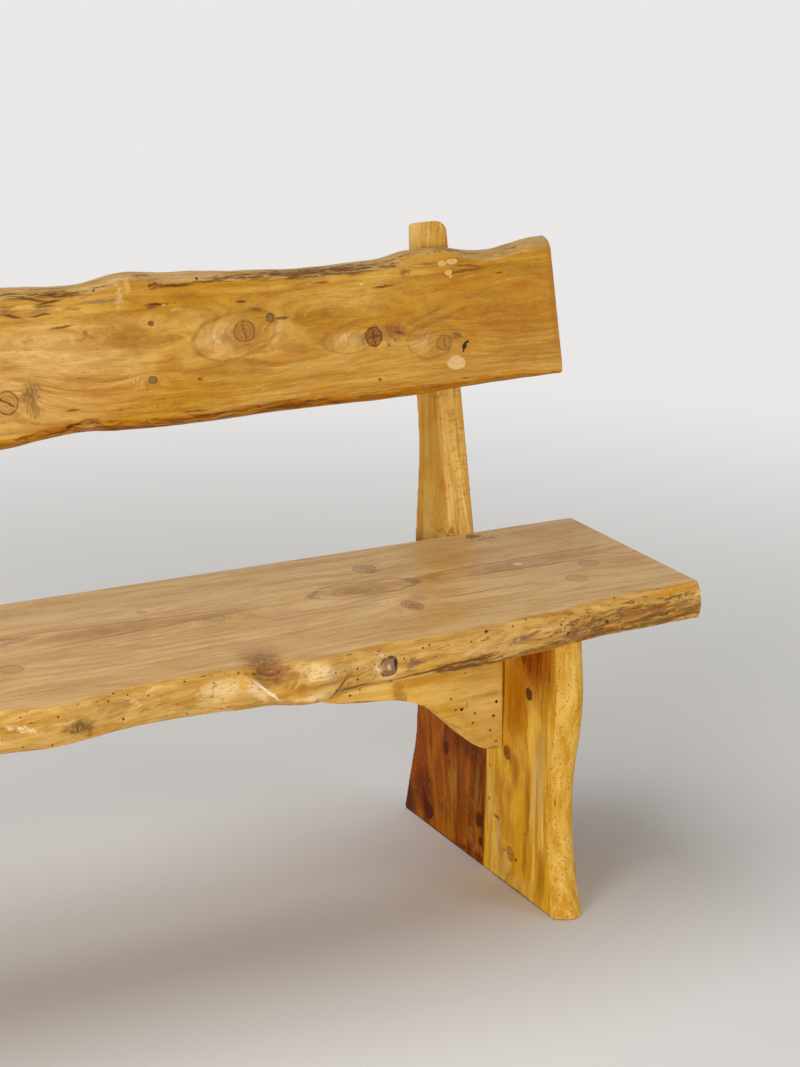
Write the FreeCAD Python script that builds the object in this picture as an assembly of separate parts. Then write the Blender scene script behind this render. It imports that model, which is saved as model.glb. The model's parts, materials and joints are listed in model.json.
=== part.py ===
import FreeCAD, Part
import math
import os

# A rustic bench: a live-edge slab seat on two board legs, whose rear boards run on upwards as
# raked posts that carry a live-edge back slab. X runs along the bench, the front faces -Y and the
# feet stand on z = 0. The origin is on the floor, in the middle of the bench's box.

Vec = FreeCAD.Vector

# Overall sizes in millimetres
SEAT_LENGTH = 1500.0
SEAT_TOP = 430.0
SEAT_THICKNESS = 48.0
SEAT_UNDER = SEAT_TOP - SEAT_THICKNESS
SEAT_CORNER = 6.0
SEAT_BLANK = 420.0                # depth of the plank before its front edge is shaped
REAR = 122.9                      # y of the seat's sawn rear edge, which butts the posts

BOARD = 39.0                      # thickness of legs, posts and brackets
LEG_INSET = 147.0                 # from the seat's end to a leg's outer face
LEG_OUTER = SEAT_LENGTH / 2 - LEG_INSET
LEG_INNER = LEG_OUTER - BOARD
LEG_MIDDLE = LEG_OUTER - BOARD / 2
SEAM_FOOT = -100.0                # y of the seam between a leg's boards, from the rear edge
SEAM_HEAD = -116.0
LEG_BLANK = 340.0                 # reach of a front board before its edge is shaped

RAKE = math.radians(11.4)         # lean of the posts and the back
POST_TOP_FRONT = 402.0            # height of the post's front above the seat
POST_TOP_REAR = 395.0
POST_TOP_DEPTH = 114.0            # y of the post's rear top corner, behind the rear edge
POST_ROUND = 14.0                 # outer top corner of a post

BACK_LENGTH = 1470.0
BACK_THICKNESS = 34.0
BACK_BLANK = (150.0, 430.0)       # heights of the plank before its edges are shaped

BRACKET_FRONT = -152.0            # y of a bracket's front face, from the rear edge
BRACKET_TIP = 185.0               # height of its lowest point

# Stub tenons on the tops of the leg boards, let into the seat
TENON_THICKNESS = 19.0
TENON_HEIGHT = 24.0
TENON_FRONT = (-235.0, -150.0)    # y range on a front board, from the rear edge
TENON_REAR = (-92.0, -24.0)       # y range on a rear board
MORTISE_SPARE = 1.0               # glue space above a tenon

# Loose tongue along the seam between a leg's boards
TONGUE_THICKNESS = 8.0
TONGUE_WIDTH = 20.0
TONGUE_LOW = 25.0
TONGUE_HIGH = 350.0

# Fasteners
DOWEL_RADIUS = 5.0
DOWEL_LENGTH = 50.0
DOWEL_HEIGHTS = (235.0, 335.0)    # into the leg
DOWEL_REACHES = (120.0, 230.0)    # into the seat, from the leg's inner face
SCREW_LENGTH = 62.0
SCREW_SHANK = 3.0
SCREW_HEAD = 6.0
SCREW_HEAD_HEIGHT = 4.0
PLUG_DEPTH = 8.0
PLUG_RADIUS = 10.0
PLUG_HEIGHT = 227.0               # along the back slab, from the seat's top
FILLER_RADIUS = 8.0
FILLER_HEIGHT = 350.0

# Seat: where the top face ends at the front (x, depth from the rear edge)
SEAT_FRONT = [
    (-790, 308), (-750, 312), (-700, 318), (-640, 330), (-570, 346), (-510, 356), (-440, 350),
    (-370, 338), (-300, 334), (-230, 341), (-170, 350), (-117, 364), (-79, 361), (-38, 351),
    (10, 344), (68, 342), (130, 345), (163, 338), (183, 355), (221, 361), (246, 353),
    (298, 345), (350, 348), (410, 348), (447, 346), (493, 337), (521, 338), (595, 322),
    (655, 318), (707, 315), (750, 312), (790, 308),
]
# How far the nose stands out beyond that line
SEAT_NOSE = [
    (-790, 11), (-600, 14), (-450, 9), (-300, 16), (-175, 20), (-120, 10), (-77, 8), (0, 12),
    (66, 14), (119, 18), (150, 27), (166, 27), (185, 15), (230, 10), (460, 10), (790, 10),
]
# Share of the nose at each share of the thickness, from the top face down
SEAT_ROUND = [
    (-0.25, -0.9), (0.0, 0.0), (0.1, 0.36), (0.25, 0.72), (0.45, 0.95), (0.68, 1.0), (0.85, 0.82),
    (0.95, 0.55), (1.05, 0.15), (1.25, -0.9),
]

# Back slab: crown of the upper edge and lowest line of the lower edge (x, height along the slab)
BACK_UPPER = [
    (-770, 368), (-735, 372), (-690, 379), (-640, 376), (-590, 368), (-530, 371), (-470, 380),
    (-410, 383), (-350, 377), (-290, 370), (-220, 374), (-150, 381), (-80, 383), (-13, 379),
    (50, 376), (90, 375), (117, 381), (141, 384), (166, 383), (190, 379), (218, 379),
    (302, 372), (372, 368), (442, 369), (491, 370), (523, 377), (560, 379), (591, 378),
    (610, 373), (639, 369), (660, 369), (684, 374), (714, 379), (740, 380), (770, 380),
]
BACK_LOWER = [
    (-770, 201), (-735, 200), (-650, 196), (-560, 203), (-470, 207), (-380, 199), (-290, 192),
    (-200, 189), (-120, 193), (-40, 190), (-7, 192), (26, 197), (71, 200), (120, 197),
    (177, 195), (261, 194), (324, 197), (404, 196), (499, 195), (587, 198), (646, 200),
    (722, 200), (770, 202),
]
# Drop of the edge at each share of the thickness, from the slab's back to its front
CROWN_ROUND = [
    (-0.25, 9.0), (0.0, 3.5), (0.15, 1.2), (0.35, 0.0), (0.55, 0.9), (0.75, 3.4), (0.9, 7.0),
    (1.0, 10.5), (1.25, 21.0),
]
KEEL_ROUND = [
    (-0.25, 12.0), (0.0, 5.0), (0.15, 2.0), (0.35, 0.2), (0.55, 0.0), (0.75, 2.2), (0.9, 5.6),
    (1.0, 9.0), (1.25, 19.0),
]

# Legs: front edge of the inner face (height, distance from the rear edge)
LEG_FRONT_RIGHT = [
    (-20, 292), (0, 284), (45, 270), (101, 260), (159, 258), (206, 265), (252, 275), (297, 279),
    (325, 278), (363, 275), (410, 271),
]
LEG_FRONT_LEFT = [
    (-20, 288), (0, 282), (50, 274), (110, 266), (170, 258), (225, 257), (275, 264), (320, 272),
    (363, 274), (410, 270),
]
LEG_SWELL = 10.5
LEG_ROUND = [
    (-0.25, -0.9), (0.0, 0.0), (0.15, 0.48), (0.35, 0.88), (0.55, 1.0), (0.75, 0.86), (0.9, 0.52),
    (1.0, 0.16), (1.25, -0.9),
]
# Rear outline of a rear board, from the floor up (distance behind the rear edge, height)
POST_REAR = [
    (128, 0), (119, 32), (106, 75), (94, 117), (90, 165), (92, 260), (95, 380), (91, 440),
    (85, 500), (85, 556), (94, 620), (104, 710), (111, 780),
]

# Underside of a bracket: a straight run, then arcs that follow on smoothly
# (distance from the leg's inner face, height)
BRACKET_START = (4, BRACKET_TIP)
BRACKET_RISE = (52, 205)
BRACKET_BEND = (88, 241)
BRACKET_STOPS = [(171, 279), (235, 286), (290, 318), (310, SEAT_UNDER)]
BRACKET_REACH = BRACKET_STOPS[-1][0]

STATION_STEP = 30.0               # spacing of the profiles along a live edge
OVERRUN = 30.0                    # how far the profiles run past a slab's ends


def smooth(points):
    """Gives a function that runs smoothly through the points."""

    def slope(i):
        left = points[max(i - 1, 0)]
        right = points[min(i + 1, len(points) - 1)]
        return (right[1] - left[1]) / (right[0] - left[0])

    def value(at):
        i = 0
        while i < len(points) - 2 and at > points[i + 1][0]:
            i += 1
        (x0, y0), (x1, y1) = points[i], points[i + 1]
        span = x1 - x0
        s = (at - x0) / span
        rise = (y1 - y0) * s * s * (3 - 2 * s)
        turn = span * s * (1 - s) * (slope(i) * (1 - s) - slope(i + 1) * s)
        return y0 + rise + turn

    return value


def stations(low, high):
    count = int(round((high - low) / STATION_STEP))
    return [low + (high - low) * i / count for i in range(count + 1)]


def live_cutter(places, shares, point, away):
    """Solid outside a live edge, whose skin is ruled between curves along the edge."""
    curves = []
    for share in shares:
        curve = Part.BSplineCurve()
        curve.interpolate(Points=[point(place, share) for place in places], Parameters=places)
        curves.append(curve.toShape())
    strips = [Part.makeRuledSurface(low, high) for low, high in zip(curves, curves[1:])]
    return Part.makeShell(strips).extrude(away)


def arc_onwards(start, heading, stop):
    """Arc that leaves start along the heading, in the plane of bracket outlines."""
    chord = math.atan2(stop[1] - start[1], stop[0] - start[0])
    half_turn = chord - heading
    radius = math.dist(start, stop) / (2 * math.sin(half_turn))
    centre = (start[0] - radius * math.sin(heading), start[1] + radius * math.cos(heading))
    middle = (centre[0] + radius * math.sin(chord), centre[1] - radius * math.cos(chord))
    return middle, chord + half_turn


def block(x0, x1, y0, y1, z0, z1):
    return Part.makeBox(x1 - x0, y1 - y0, z1 - z0, Vec(x0, y0, z0))


def prism(points, sweep):
    """Extrudes a closed outline of straight edges."""
    return Part.Face(Part.makePolygon(points + points[:1])).extrude(sweep)


def mirrored(shape):
    return shape.mirror(Vec(0, 0, 0), Vec(1, 0, 0))


def on_side(shape, side):
    """Right-hand pieces are drawn; the left ones are their mirror image."""
    return shape if side > 0 else mirrored(shape)


def pick(shape, wanted):
    return [edge for edge in shape.Edges if wanted(edge)]


def upright(edge):
    box = edge.BoundBox
    return box.XLength < 0.01 and box.YLength < 0.01 and box.ZLength > 1.0


# Fasteners
def dowel(centre, axis):
    """Round peg about its centre."""
    return Part.makeCylinder(DOWEL_RADIUS, DOWEL_LENGTH, centre - axis * (DOWEL_LENGTH / 2), axis)


def bracket_dowels(side):
    y = REAR + BRACKET_FRONT + BOARD / 2
    pegs = [dowel(Vec(side * LEG_INNER, y, z), Vec(1, 0, 0)) for z in DOWEL_HEIGHTS]
    for reach in DOWEL_REACHES:
        pegs.append(dowel(Vec(side * (LEG_INNER - reach), y, SEAT_UNDER), Vec(0, 0, 1)))
    return pegs


def seam_y(height):
    return REAR + SEAM_FOOT + (SEAM_HEAD - SEAM_FOOT) * height / SEAT_UNDER


def leg_tongue(side):
    """Flat strip glued into grooves in both boards of a leg."""
    x = LEG_MIDDLE - TONGUE_THICKNESS / 2
    corners = []
    for height, out in ((TONGUE_LOW, -1), (TONGUE_LOW, 1), (TONGUE_HIGH, 1), (TONGUE_HIGH, -1)):
        corners.append(Vec(x, seam_y(height) + out * TONGUE_WIDTH / 2, height))
    return on_side(prism(corners, Vec(TONGUE_THICKNESS, 0, 0)), side)


def tenon(side, y_range, height):
    x = LEG_MIDDLE - TENON_THICKNESS / 2
    low, high = y_range
    peg = block(x, x + TENON_THICKNESS, REAR + low, REAR + high, SEAT_UNDER, SEAT_UNDER + height)
    return on_side(peg, side)


def back_point(x, height, depth):
    """Point on the leaning back: height along it from the seat's top, depth out from the posts."""
    y = REAR + height * math.sin(RAKE) - depth * math.cos(RAKE)
    z = SEAT_TOP + height * math.cos(RAKE) + depth * math.sin(RAKE)
    return Vec(x, y, z)


INWARD = Vec(0, math.cos(RAKE), -math.sin(RAKE))


def backrest_screw(side, height):
    """Screw whose head lies under a plug and whose shank ends in the post."""
    start = back_point(side * LEG_MIDDLE, height, BACK_THICKNESS - PLUG_DEPTH)
    head = Part.makeCylinder(SCREW_HEAD, SCREW_HEAD_HEIGHT, start, INWARD)
    neck = start + INWARD * SCREW_HEAD_HEIGHT
    return head.fuse(Part.makeCylinder(SCREW_SHANK, SCREW_LENGTH - SCREW_HEAD_HEIGHT, neck, INWARD))


def face_plug(side, height, radius):
    start = back_point(side * LEG_MIDDLE, height, BACK_THICKNESS - PLUG_DEPTH)
    return Part.makeCylinder(radius, PLUG_DEPTH, start, -INWARD)


SIDES = (1, -1)
ALL_BRACKET_DOWELS = [peg for side in SIDES for peg in bracket_dowels(side)]
ALL_TONGUES = [leg_tongue(side) for side in SIDES]
ALL_SCREWS = [backrest_screw(side, at) for side in SIDES for at in (PLUG_HEIGHT, FILLER_HEIGHT)]
ALL_PLUGS = [face_plug(side, PLUG_HEIGHT, PLUG_RADIUS) for side in SIDES]
ALL_FILLERS = [face_plug(side, FILLER_HEIGHT, FILLER_RADIUS) for side in SIDES]
ALL_MORTISES = [
    tenon(side, y_range, TENON_HEIGHT + MORTISE_SPARE)
    for side in SIDES
    for y_range in (TENON_FRONT, TENON_REAR)
]


# Slabs
def seat_slab():
    half = SEAT_LENGTH / 2
    slab = block(-half, half, REAR - SEAT_BLANK, REAR, SEAT_UNDER, SEAT_TOP)
    front = smooth(SEAT_FRONT)
    nose = smooth(SEAT_NOSE)
    nose_shares = dict(SEAT_ROUND)

    def point(x, share):
        out = front(x) + nose(x) * nose_shares[share]
        return Vec(x, REAR - out, SEAT_TOP - share * SEAT_THICKNESS)

    places = stations(-half - OVERRUN, half + OVERRUN)
    slab = slab.cut(live_cutter(places, nose_shares, point, Vec(0, -SEAT_BLANK / 2, 0)))
    rear_corners = pick(slab, lambda edge: upright(edge) and edge.BoundBox.YMin > REAR - 1)
    slab = slab.makeFillet(SEAT_CORNER, rear_corners)
    return slab.cut(ALL_MORTISES + ALL_BRACKET_DOWELS)


def backrest_slab():
    half = BACK_LENGTH / 2
    low, high = BACK_BLANK
    section = ((low, 0), (high, 0), (high, BACK_THICKNESS), (low, BACK_THICKNESS))
    slab = prism([back_point(-half, height, depth) for height, depth in section], Vec(BACK_LENGTH, 0, 0))
    upper = smooth(BACK_UPPER)
    lower = smooth(BACK_LOWER)
    crown = dict(CROWN_ROUND)
    keel = dict(KEEL_ROUND)
    up = back_point(0, low, 0) - back_point(0, 0, 0)

    def upper_point(x, share):
        return back_point(x, upper(x) - crown[share], share * BACK_THICKNESS)

    def lower_point(x, share):
        return back_point(x, lower(x) + keel[share], share * BACK_THICKNESS)

    places = stations(-half - OVERRUN, half + OVERRUN)
    slab = slab.cut(live_cutter(places, crown, upper_point, up))
    slab = slab.cut(live_cutter(places, keel, lower_point, -up))
    return slab.cut(ALL_SCREWS + ALL_PLUGS + ALL_FILLERS + screw_recesses())


def screw_recesses():
    """Bores behind the plugs, as wide as the plugs and as deep as the screw heads."""
    recesses = []
    for side in SIDES:
        for height, radius in ((PLUG_HEIGHT, PLUG_RADIUS), (FILLER_HEIGHT, FILLER_RADIUS)):
            start = back_point(side * LEG_MIDDLE, height, BACK_THICKNESS - PLUG_DEPTH)
            recesses.append(Part.makeCylinder(radius, SCREW_HEAD_HEIGHT, start, INWARD))
    return recesses


# Legs
def leg_front_board(side, outline):
    """Short front board, live along its front edge."""
    blank = REAR - LEG_BLANK
    profile = [(blank, 0), (seam_y(0), 0), (seam_y(SEAT_UNDER), SEAT_UNDER), (blank, SEAT_UNDER)]
    board = prism([Vec(LEG_INNER, y, z) for y, z in profile], Vec(BOARD, 0, 0))
    front = smooth(outline)
    swell_shares = dict(LEG_ROUND)

    def point(z, share):
        out = front(z) + LEG_SWELL * swell_shares[share]
        return Vec(LEG_INNER + share * BOARD, REAR - out, z)

    places = stations(-OVERRUN, SEAT_UNDER + OVERRUN)
    board = board.cut(live_cutter(places, swell_shares, point, Vec(0, -LEG_BLANK / 2, 0)))
    board = on_side(board, side).fuse(tenon(side, TENON_FRONT, TENON_HEIGHT))
    return board.cut(ALL_TONGUES + ALL_BRACKET_DOWELS)


def leg_rear_post(side):
    """Rear board of a leg, notched under the seat and raked back above it."""
    top_front = (REAR + POST_TOP_FRONT * math.tan(RAKE), SEAT_TOP + POST_TOP_FRONT)
    top_rear = (REAR + POST_TOP_DEPTH, SEAT_TOP + POST_TOP_REAR)
    foot = (REAR + POST_REAR[0][0], 0)
    profile = [
        top_rear, top_front, (REAR, SEAT_TOP), (REAR, SEAT_UNDER),
        (seam_y(SEAT_UNDER), SEAT_UNDER), (seam_y(0), 0), foot,
    ]
    rear = Part.BSplineCurve()
    rear.interpolate([Vec(LEG_INNER, REAR + y, z) for y, z in POST_REAR] + [Vec(LEG_INNER, *top_rear)])
    straight = Part.makePolygon([Vec(LEG_INNER, y, z) for y, z in profile])
    board = Part.Face(Part.Wire(straight.Edges + [rear.toShape()])).extrude(Vec(BOARD, 0, 0))

    def outer_top(edge):
        box = edge.BoundBox
        return box.XMin > LEG_OUTER - 0.01 and box.ZMin > SEAT_TOP + POST_TOP_REAR - 1

    board = board.makeFillet(POST_ROUND, pick(board, outer_top))
    board = on_side(board, side).fuse(tenon(side, TENON_REAR, TENON_HEIGHT))
    return board.cut(ALL_TONGUES + ALL_SCREWS)


def seat_bracket(side):
    """Ogee knee bracket between a leg and the seat."""

    def place(spot):
        return Vec(LEG_INNER - spot[0], REAR + BRACKET_FRONT, spot[1])

    middle, heading = arc_onwards(BRACKET_START, 0.0, BRACKET_RISE)
    edges = [Part.Arc(place(BRACKET_START), place(middle), place(BRACKET_RISE)).toShape()]
    edges.append(Part.makeLine(place(BRACKET_RISE), place(BRACKET_BEND)))
    start = BRACKET_BEND
    for stop in BRACKET_STOPS:
        middle, heading = arc_onwards(start, heading, stop)
        edges.append(Part.Arc(place(start), place(middle), place(stop)).toShape())
        start = stop
    corners = [place(start), place((0, SEAT_UNDER)), place((0, BRACKET_TIP)), place(BRACKET_START)]
    outline = Part.Wire(edges + Part.makePolygon(corners).Edges)
    board = Part.Face(outline).extrude(Vec(0, BOARD, 0))
    return on_side(board, side).cut(ALL_BRACKET_DOWELS)


PARTS = {
    "seat_slab": seat_slab(),
    "backrest_slab": backrest_slab(),
    "leg_front_board_right": leg_front_board(1, LEG_FRONT_RIGHT),
    "leg_front_board_left": leg_front_board(-1, LEG_FRONT_LEFT),
    "leg_rear_post_right": leg_rear_post(1),
    "leg_rear_post_left": leg_rear_post(-1),
    "seat_bracket_right": seat_bracket(1),
    "seat_bracket_left": seat_bracket(-1),
    "backrest_screws": Part.makeCompound(ALL_SCREWS),
    "lower_screw_plugs": Part.makeCompound(ALL_PLUGS),
    "upper_filler_plugs": Part.makeCompound(ALL_FILLERS),
    "leg_seam_tongues": Part.makeCompound(ALL_TONGUES),
    "bracket_dowels": Part.makeCompound(ALL_BRACKET_DOWELS),
}

os.makedirs("parts", exist_ok=True)
for name, shape in PARTS.items():
    shape.exportStep(f"parts/{name}.step")
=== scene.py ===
"""Looks of the rustic bench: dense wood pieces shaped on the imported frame, their woods, light and camera."""

import json
import math

import bmesh
import bpy
import numpy as np
from mathutils import Matrix, Vector
from mathutils.bvhtree import BVHTree

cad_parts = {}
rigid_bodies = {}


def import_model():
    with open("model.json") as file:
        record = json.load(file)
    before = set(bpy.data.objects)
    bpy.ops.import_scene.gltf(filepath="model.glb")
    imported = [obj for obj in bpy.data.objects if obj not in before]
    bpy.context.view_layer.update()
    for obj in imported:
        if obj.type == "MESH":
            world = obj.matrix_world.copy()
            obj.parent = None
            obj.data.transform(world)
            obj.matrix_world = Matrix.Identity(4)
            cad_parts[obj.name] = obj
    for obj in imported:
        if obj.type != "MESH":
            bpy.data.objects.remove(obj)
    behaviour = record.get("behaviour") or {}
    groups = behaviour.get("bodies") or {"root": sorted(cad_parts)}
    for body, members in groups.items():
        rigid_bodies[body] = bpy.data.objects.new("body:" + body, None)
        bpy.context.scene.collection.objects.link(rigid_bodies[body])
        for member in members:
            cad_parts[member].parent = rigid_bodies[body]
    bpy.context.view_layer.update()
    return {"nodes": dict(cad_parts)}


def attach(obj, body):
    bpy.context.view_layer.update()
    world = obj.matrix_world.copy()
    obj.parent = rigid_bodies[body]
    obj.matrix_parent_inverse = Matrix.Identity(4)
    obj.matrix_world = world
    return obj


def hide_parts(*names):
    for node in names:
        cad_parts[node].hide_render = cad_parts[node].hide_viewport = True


for thing in list(bpy.data.objects):
    bpy.data.objects.remove(thing)
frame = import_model()
scene = bpy.context.scene

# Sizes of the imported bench, in metres
MM = 0.001
SEAT_TOP = 0.430
SEAT_UNDER = 0.382
SEAT_HALF = 0.750
REAR = 0.1229
RAKE = math.radians(11.4)
BACK_HALF = 0.735
BACK_THICKNESS = 0.034
LEG_INNER = 0.564
LEG_MIDDLE = 0.5835
BOARD = 0.039
SEAM_FOOT = -0.100
SEAM_HEAD = -0.116
BRACKET_FRONT = REAR - 0.152
BRACKET_REACH = 0.3096
POST_TOP = 0.8318

# How far the photograph's outline lies outside the frame's: the back's lower edge, more on its right,
# within a rim, its upper edge, and the front edges of the legs
BACK_DROP = 0.0045
BACK_DROP_RIGHT = 0.0018
BACK_RIM = 0.016
BACK_RISE = 0.0022
BOARD_FORWARD = 0.0065

# Grids of the pieces: how far they stay inside the solid, the finest step, and where the rays start
INSET = 0.0002
FINE = 0.0008
FAR = 0.6


# Smooth value noise on arrays of points
def lattice(cell, seed):
    """Repeatable pseudo-random values for integer cells."""
    c = cell.astype(np.int64)
    h = c[..., 0] * 374761393 + c[..., 1] * 668265263 + c[..., 2] * 2147483647 + seed * 974634777
    h = (h ^ (h >> 13)) & 0xFFFFFFFF
    h = (h * 1274126177) & 0xFFFFFFFF
    h = (h ^ (h >> 16)) & 0xFFFF
    return h / 32767.5 - 1.0


def noise(points, cell, seed=0):
    """Noise from -1 to 1 whose features have the given cell size along each axis."""
    p = np.asarray(points) / np.asarray(cell)
    base = np.floor(p)
    f = p - base
    f = f * f * (3 - 2 * f)
    total = 0.0
    for dx in (0, 1):
        for dy in (0, 1):
            for dz in (0, 1):
                corner = base + (dx, dy, dz)
                weight = np.prod(np.where((dx, dy, dz), f, 1 - f), axis=-1)
                total = total + weight * lattice(corner, seed)
    return total


def fade(x, low, high):
    """Smooth step from 0 at low to 1 at high."""
    t = np.clip((x - low) / (high - low), 0, 1)
    return t * t * (3 - 2 * t)


# Meshes
def graded(length, edge, step):
    """Positions from 0 to length, fine at both ends and at most one step apart."""
    ramp = []
    at = 0.0
    gap = edge
    while gap < step:
        ramp.append(at)
        at += gap
        gap *= 1.5
    count = max(2, int(math.ceil((length - 2 * at) / step)))
    middle = np.linspace(at, length - at, count + 1)
    return np.concatenate([ramp, middle, length - np.array(ramp[::-1])])


def box_surface(counts):
    """Grid cells and outward quads of the surface of a gridded box."""
    index = -np.ones(counts, int)
    shell = np.zeros(counts, bool)
    shell[[0, -1]] = True
    shell[:, [0, -1]] = True
    shell[:, :, [0, -1]] = True
    index[shell] = np.arange(shell.sum())
    quads = []
    for axis in range(3):
        for end in (0, -1):
            sheet = np.take(index, end, axis)
            ring = [sheet[:-1, :-1], sheet[1:, :-1], sheet[1:, 1:], sheet[:-1, 1:]]
            if (end == 0) != (axis == 1):
                ring.reverse()
            quads.append(np.stack(ring, -1).reshape(-1, 4))
    return np.argwhere(shell), np.concatenate(quads)


def neighbours(quads, count):
    """Edges of the quads, for smoothing and normals."""
    pairs = np.concatenate([quads[:, [k, (k + 1) % 4]] for k in range(4)])
    pairs = np.concatenate([pairs, pairs[:, ::-1]])
    degree = np.bincount(pairs[:, 0], minlength=count)
    return pairs, degree


def relax(points, quads, rounds, amount=0.5):
    """Rounds sharp edges by moving each point towards its neighbours' middle."""
    pairs, degree = neighbours(quads, len(points))
    for _ in range(rounds):
        middle = np.stack(
            [np.bincount(pairs[:, 0], points[pairs[:, 1], k], len(points)) for k in range(3)], -1
        )
        points = points + amount * (middle / degree[:, None] - points)
    return points


def normals_of(points, quads):
    """Outward unit normals of the points."""
    a, b, c, d = (points[quads[:, k]] for k in range(4))
    face = np.cross(c - a, d - b)
    out = np.stack(
        [np.bincount(quads.ravel(), np.repeat(face[:, k], 4), len(points)) for k in range(3)], -1
    )
    return out / np.maximum(np.linalg.norm(out, axis=1, keepdims=True), 1e-12)


def add_piece(name, points, quads, masks, node, slot):
    """Makes the mesh of one visible piece, which stands for a node of the frame."""
    mesh = bpy.data.meshes.new(name)
    mesh.vertices.add(len(points))
    mesh.vertices.foreach_set("co", points.astype(np.float32).ravel())
    mesh.loops.add(quads.size)
    mesh.loops.foreach_set("vertex_index", quads.ravel().astype(np.int32))
    mesh.polygons.add(len(quads))
    mesh.polygons.foreach_set("loop_start", np.arange(0, quads.size, 4, dtype=np.int32))
    mesh.polygons.foreach_set("loop_total", np.full(len(quads), 4, np.int32))
    mesh.update(calc_edges=True)
    mesh.validate()
    mesh.polygons.foreach_set("use_smooth", np.ones(len(quads), bool))
    for key, values in masks.items():
        layer = mesh.attributes.new(key, "FLOAT", "POINT")
        layer.data.foreach_set("value", values.astype(np.float32))
    piece = bpy.data.objects.new(name, mesh)
    scene.collection.objects.link(piece)
    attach(piece, "root")
    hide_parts(node)
    return piece


# Changes between a piece's own axes and the frame. Own axes: along the grain, across it, out of the face.
def seat_own(p):
    """The seat and the front boards keep the frame's axes."""
    return p


def back_own(p):
    """Frame to back slab: along, height along the slab, depth out from the posts."""
    y = p[:, 1] - REAR
    z = p[:, 2] - SEAT_TOP
    s, c = math.sin(RAKE), math.cos(RAKE)
    return np.stack([p[:, 0], y * s + z * c, z * s - y * c], -1)


def back_frame(q):
    """Back slab to frame."""
    s, c = math.sin(RAKE), math.cos(RAKE)
    return np.stack([q[:, 0], REAR + q[:, 1] * s - q[:, 2] * c, SEAT_TOP + q[:, 1] * c + q[:, 2] * s], -1)


def node_arrays(node):
    """Points and faces of one of the frame's solids."""
    mesh = frame["nodes"][node].data
    points = np.empty(len(mesh.vertices) * 3, np.float32)
    mesh.vertices.foreach_get("co", points)
    faces = [tuple(p.vertices) for p in mesh.polygons]
    return points.reshape(-1, 3).astype(float), faces


def edge_depths(tree, starts, direction):
    """Distance from each start to the node's surface along one direction."""
    found = np.full(len(starts), np.nan)
    way = Vector(direction)
    for i, start in enumerate(starts):
        hit = tree.ray_cast(Vector(start), way)
        if hit[0] is not None:
            found[i] = hit[3]
    return found


def fill_gaps(rows):
    """Replaces missing samples in each column by the nearest found ones."""
    for column in rows.T:
        bad = np.isnan(column)
        if bad.any():
            good = np.flatnonzero(~bad)
            column[bad] = np.interp(np.flatnonzero(bad), good, column[good])
    return rows


def soften(rows, rounds):
    """Evens out the flats between the frame's facets along an edge."""
    for _ in range(rounds):
        padded = np.pad(rows, ((1, 1), (0, 0)), "edge")
        rows = 0.25 * padded[:-2] + 0.5 * rows + 0.25 * padded[2:]
    return rows


def live_rows(node, own, xs, ws, start, way, order):
    """Where a live edge lies at each place along and through a slab, in the slab's own axes."""
    points, faces = node_arrays(node)
    tree = BVHTree.FromPolygons([tuple(p) for p in own(points)], faces)
    grid = np.array([order(x, w, start) for x in xs for w in ws])
    reach = edge_depths(tree, grid, way).reshape(len(xs), len(ws))
    return soften(fill_gaps(reach), 3)


def outward(points, quads):
    """Turns all the quads round if they face inwards."""
    a, b, c, d = (points[quads[:, k]] for k in range(4))
    volume = (np.cross(c - a, d - b) * (a + c)).sum()
    return quads if volume > 0 else quads[:, ::-1].copy()


def press(points, way, marks):
    """Sinks soft hollows into a surface, or raises swellings: centre, radii and depth in millimetres."""
    depth = np.zeros(len(points))
    for centre, radii, sink in marks:
        arm = (points - np.array(centre) * MM) / (np.array(radii) * MM)
        depth += sink * MM * np.exp(-(arm**2).sum(-1))
    return points - way * depth[:, None]


# Hollows and swellings: centre, radii and depth in millimetres
SEAT_DENTS = [
    ((158, -232, 430), (26, 26, 14), 4.5), ((160, -240, 410), (20, 30, 13), 3.6),
    ((118, -245, 410), (14, 30, 14), -0.6), ((206, -240, 412), (14, 30, 16), 0.8),
    ((297, -236, 404), (16, 40, 14), -0.6), ((312, -236, 404), (3, 30, 9), 1.6),
    ((285, -236, 396), (5, 30, 5), 1.4), ((335, -236, 402), (12, 30, 8), 1.2),
    ((131, -246, 412), (5, 30, 7), -1.4), ((140, -246, 403), (5, 30, 7), -1.6),
    ((151, -246, 394), (7, 30, 6), -1.4), ((246, -240, 398), (14, 30, 12), 2.4),
    ((224, -244, 392), (6, 30, 9), -1.2), ((-80, -245, 398), (24, 30, 8), 1.6),
    ((440, -225, 392), (60, 30, 8), 1.4), ((560, -215, 396), (50, 30, 7), 1.8),
    ((640, -210, 404), (60, 30, 7), 1.2), ((-420, -240, 404), (16, 40, 14), -0.6),
    ((-300, -240, 396), (40, 30, 8), 1.6), ((-560, -225, 400), (50, 30, 8), 1.6),
    ((178, -240, 384), (55, 30, 14), -4.0), ((-25, -244, 384), (75, 30, 14), 2.4),
    ((620, -225, 384), (190, 40, 14), 2.0),
]
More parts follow.
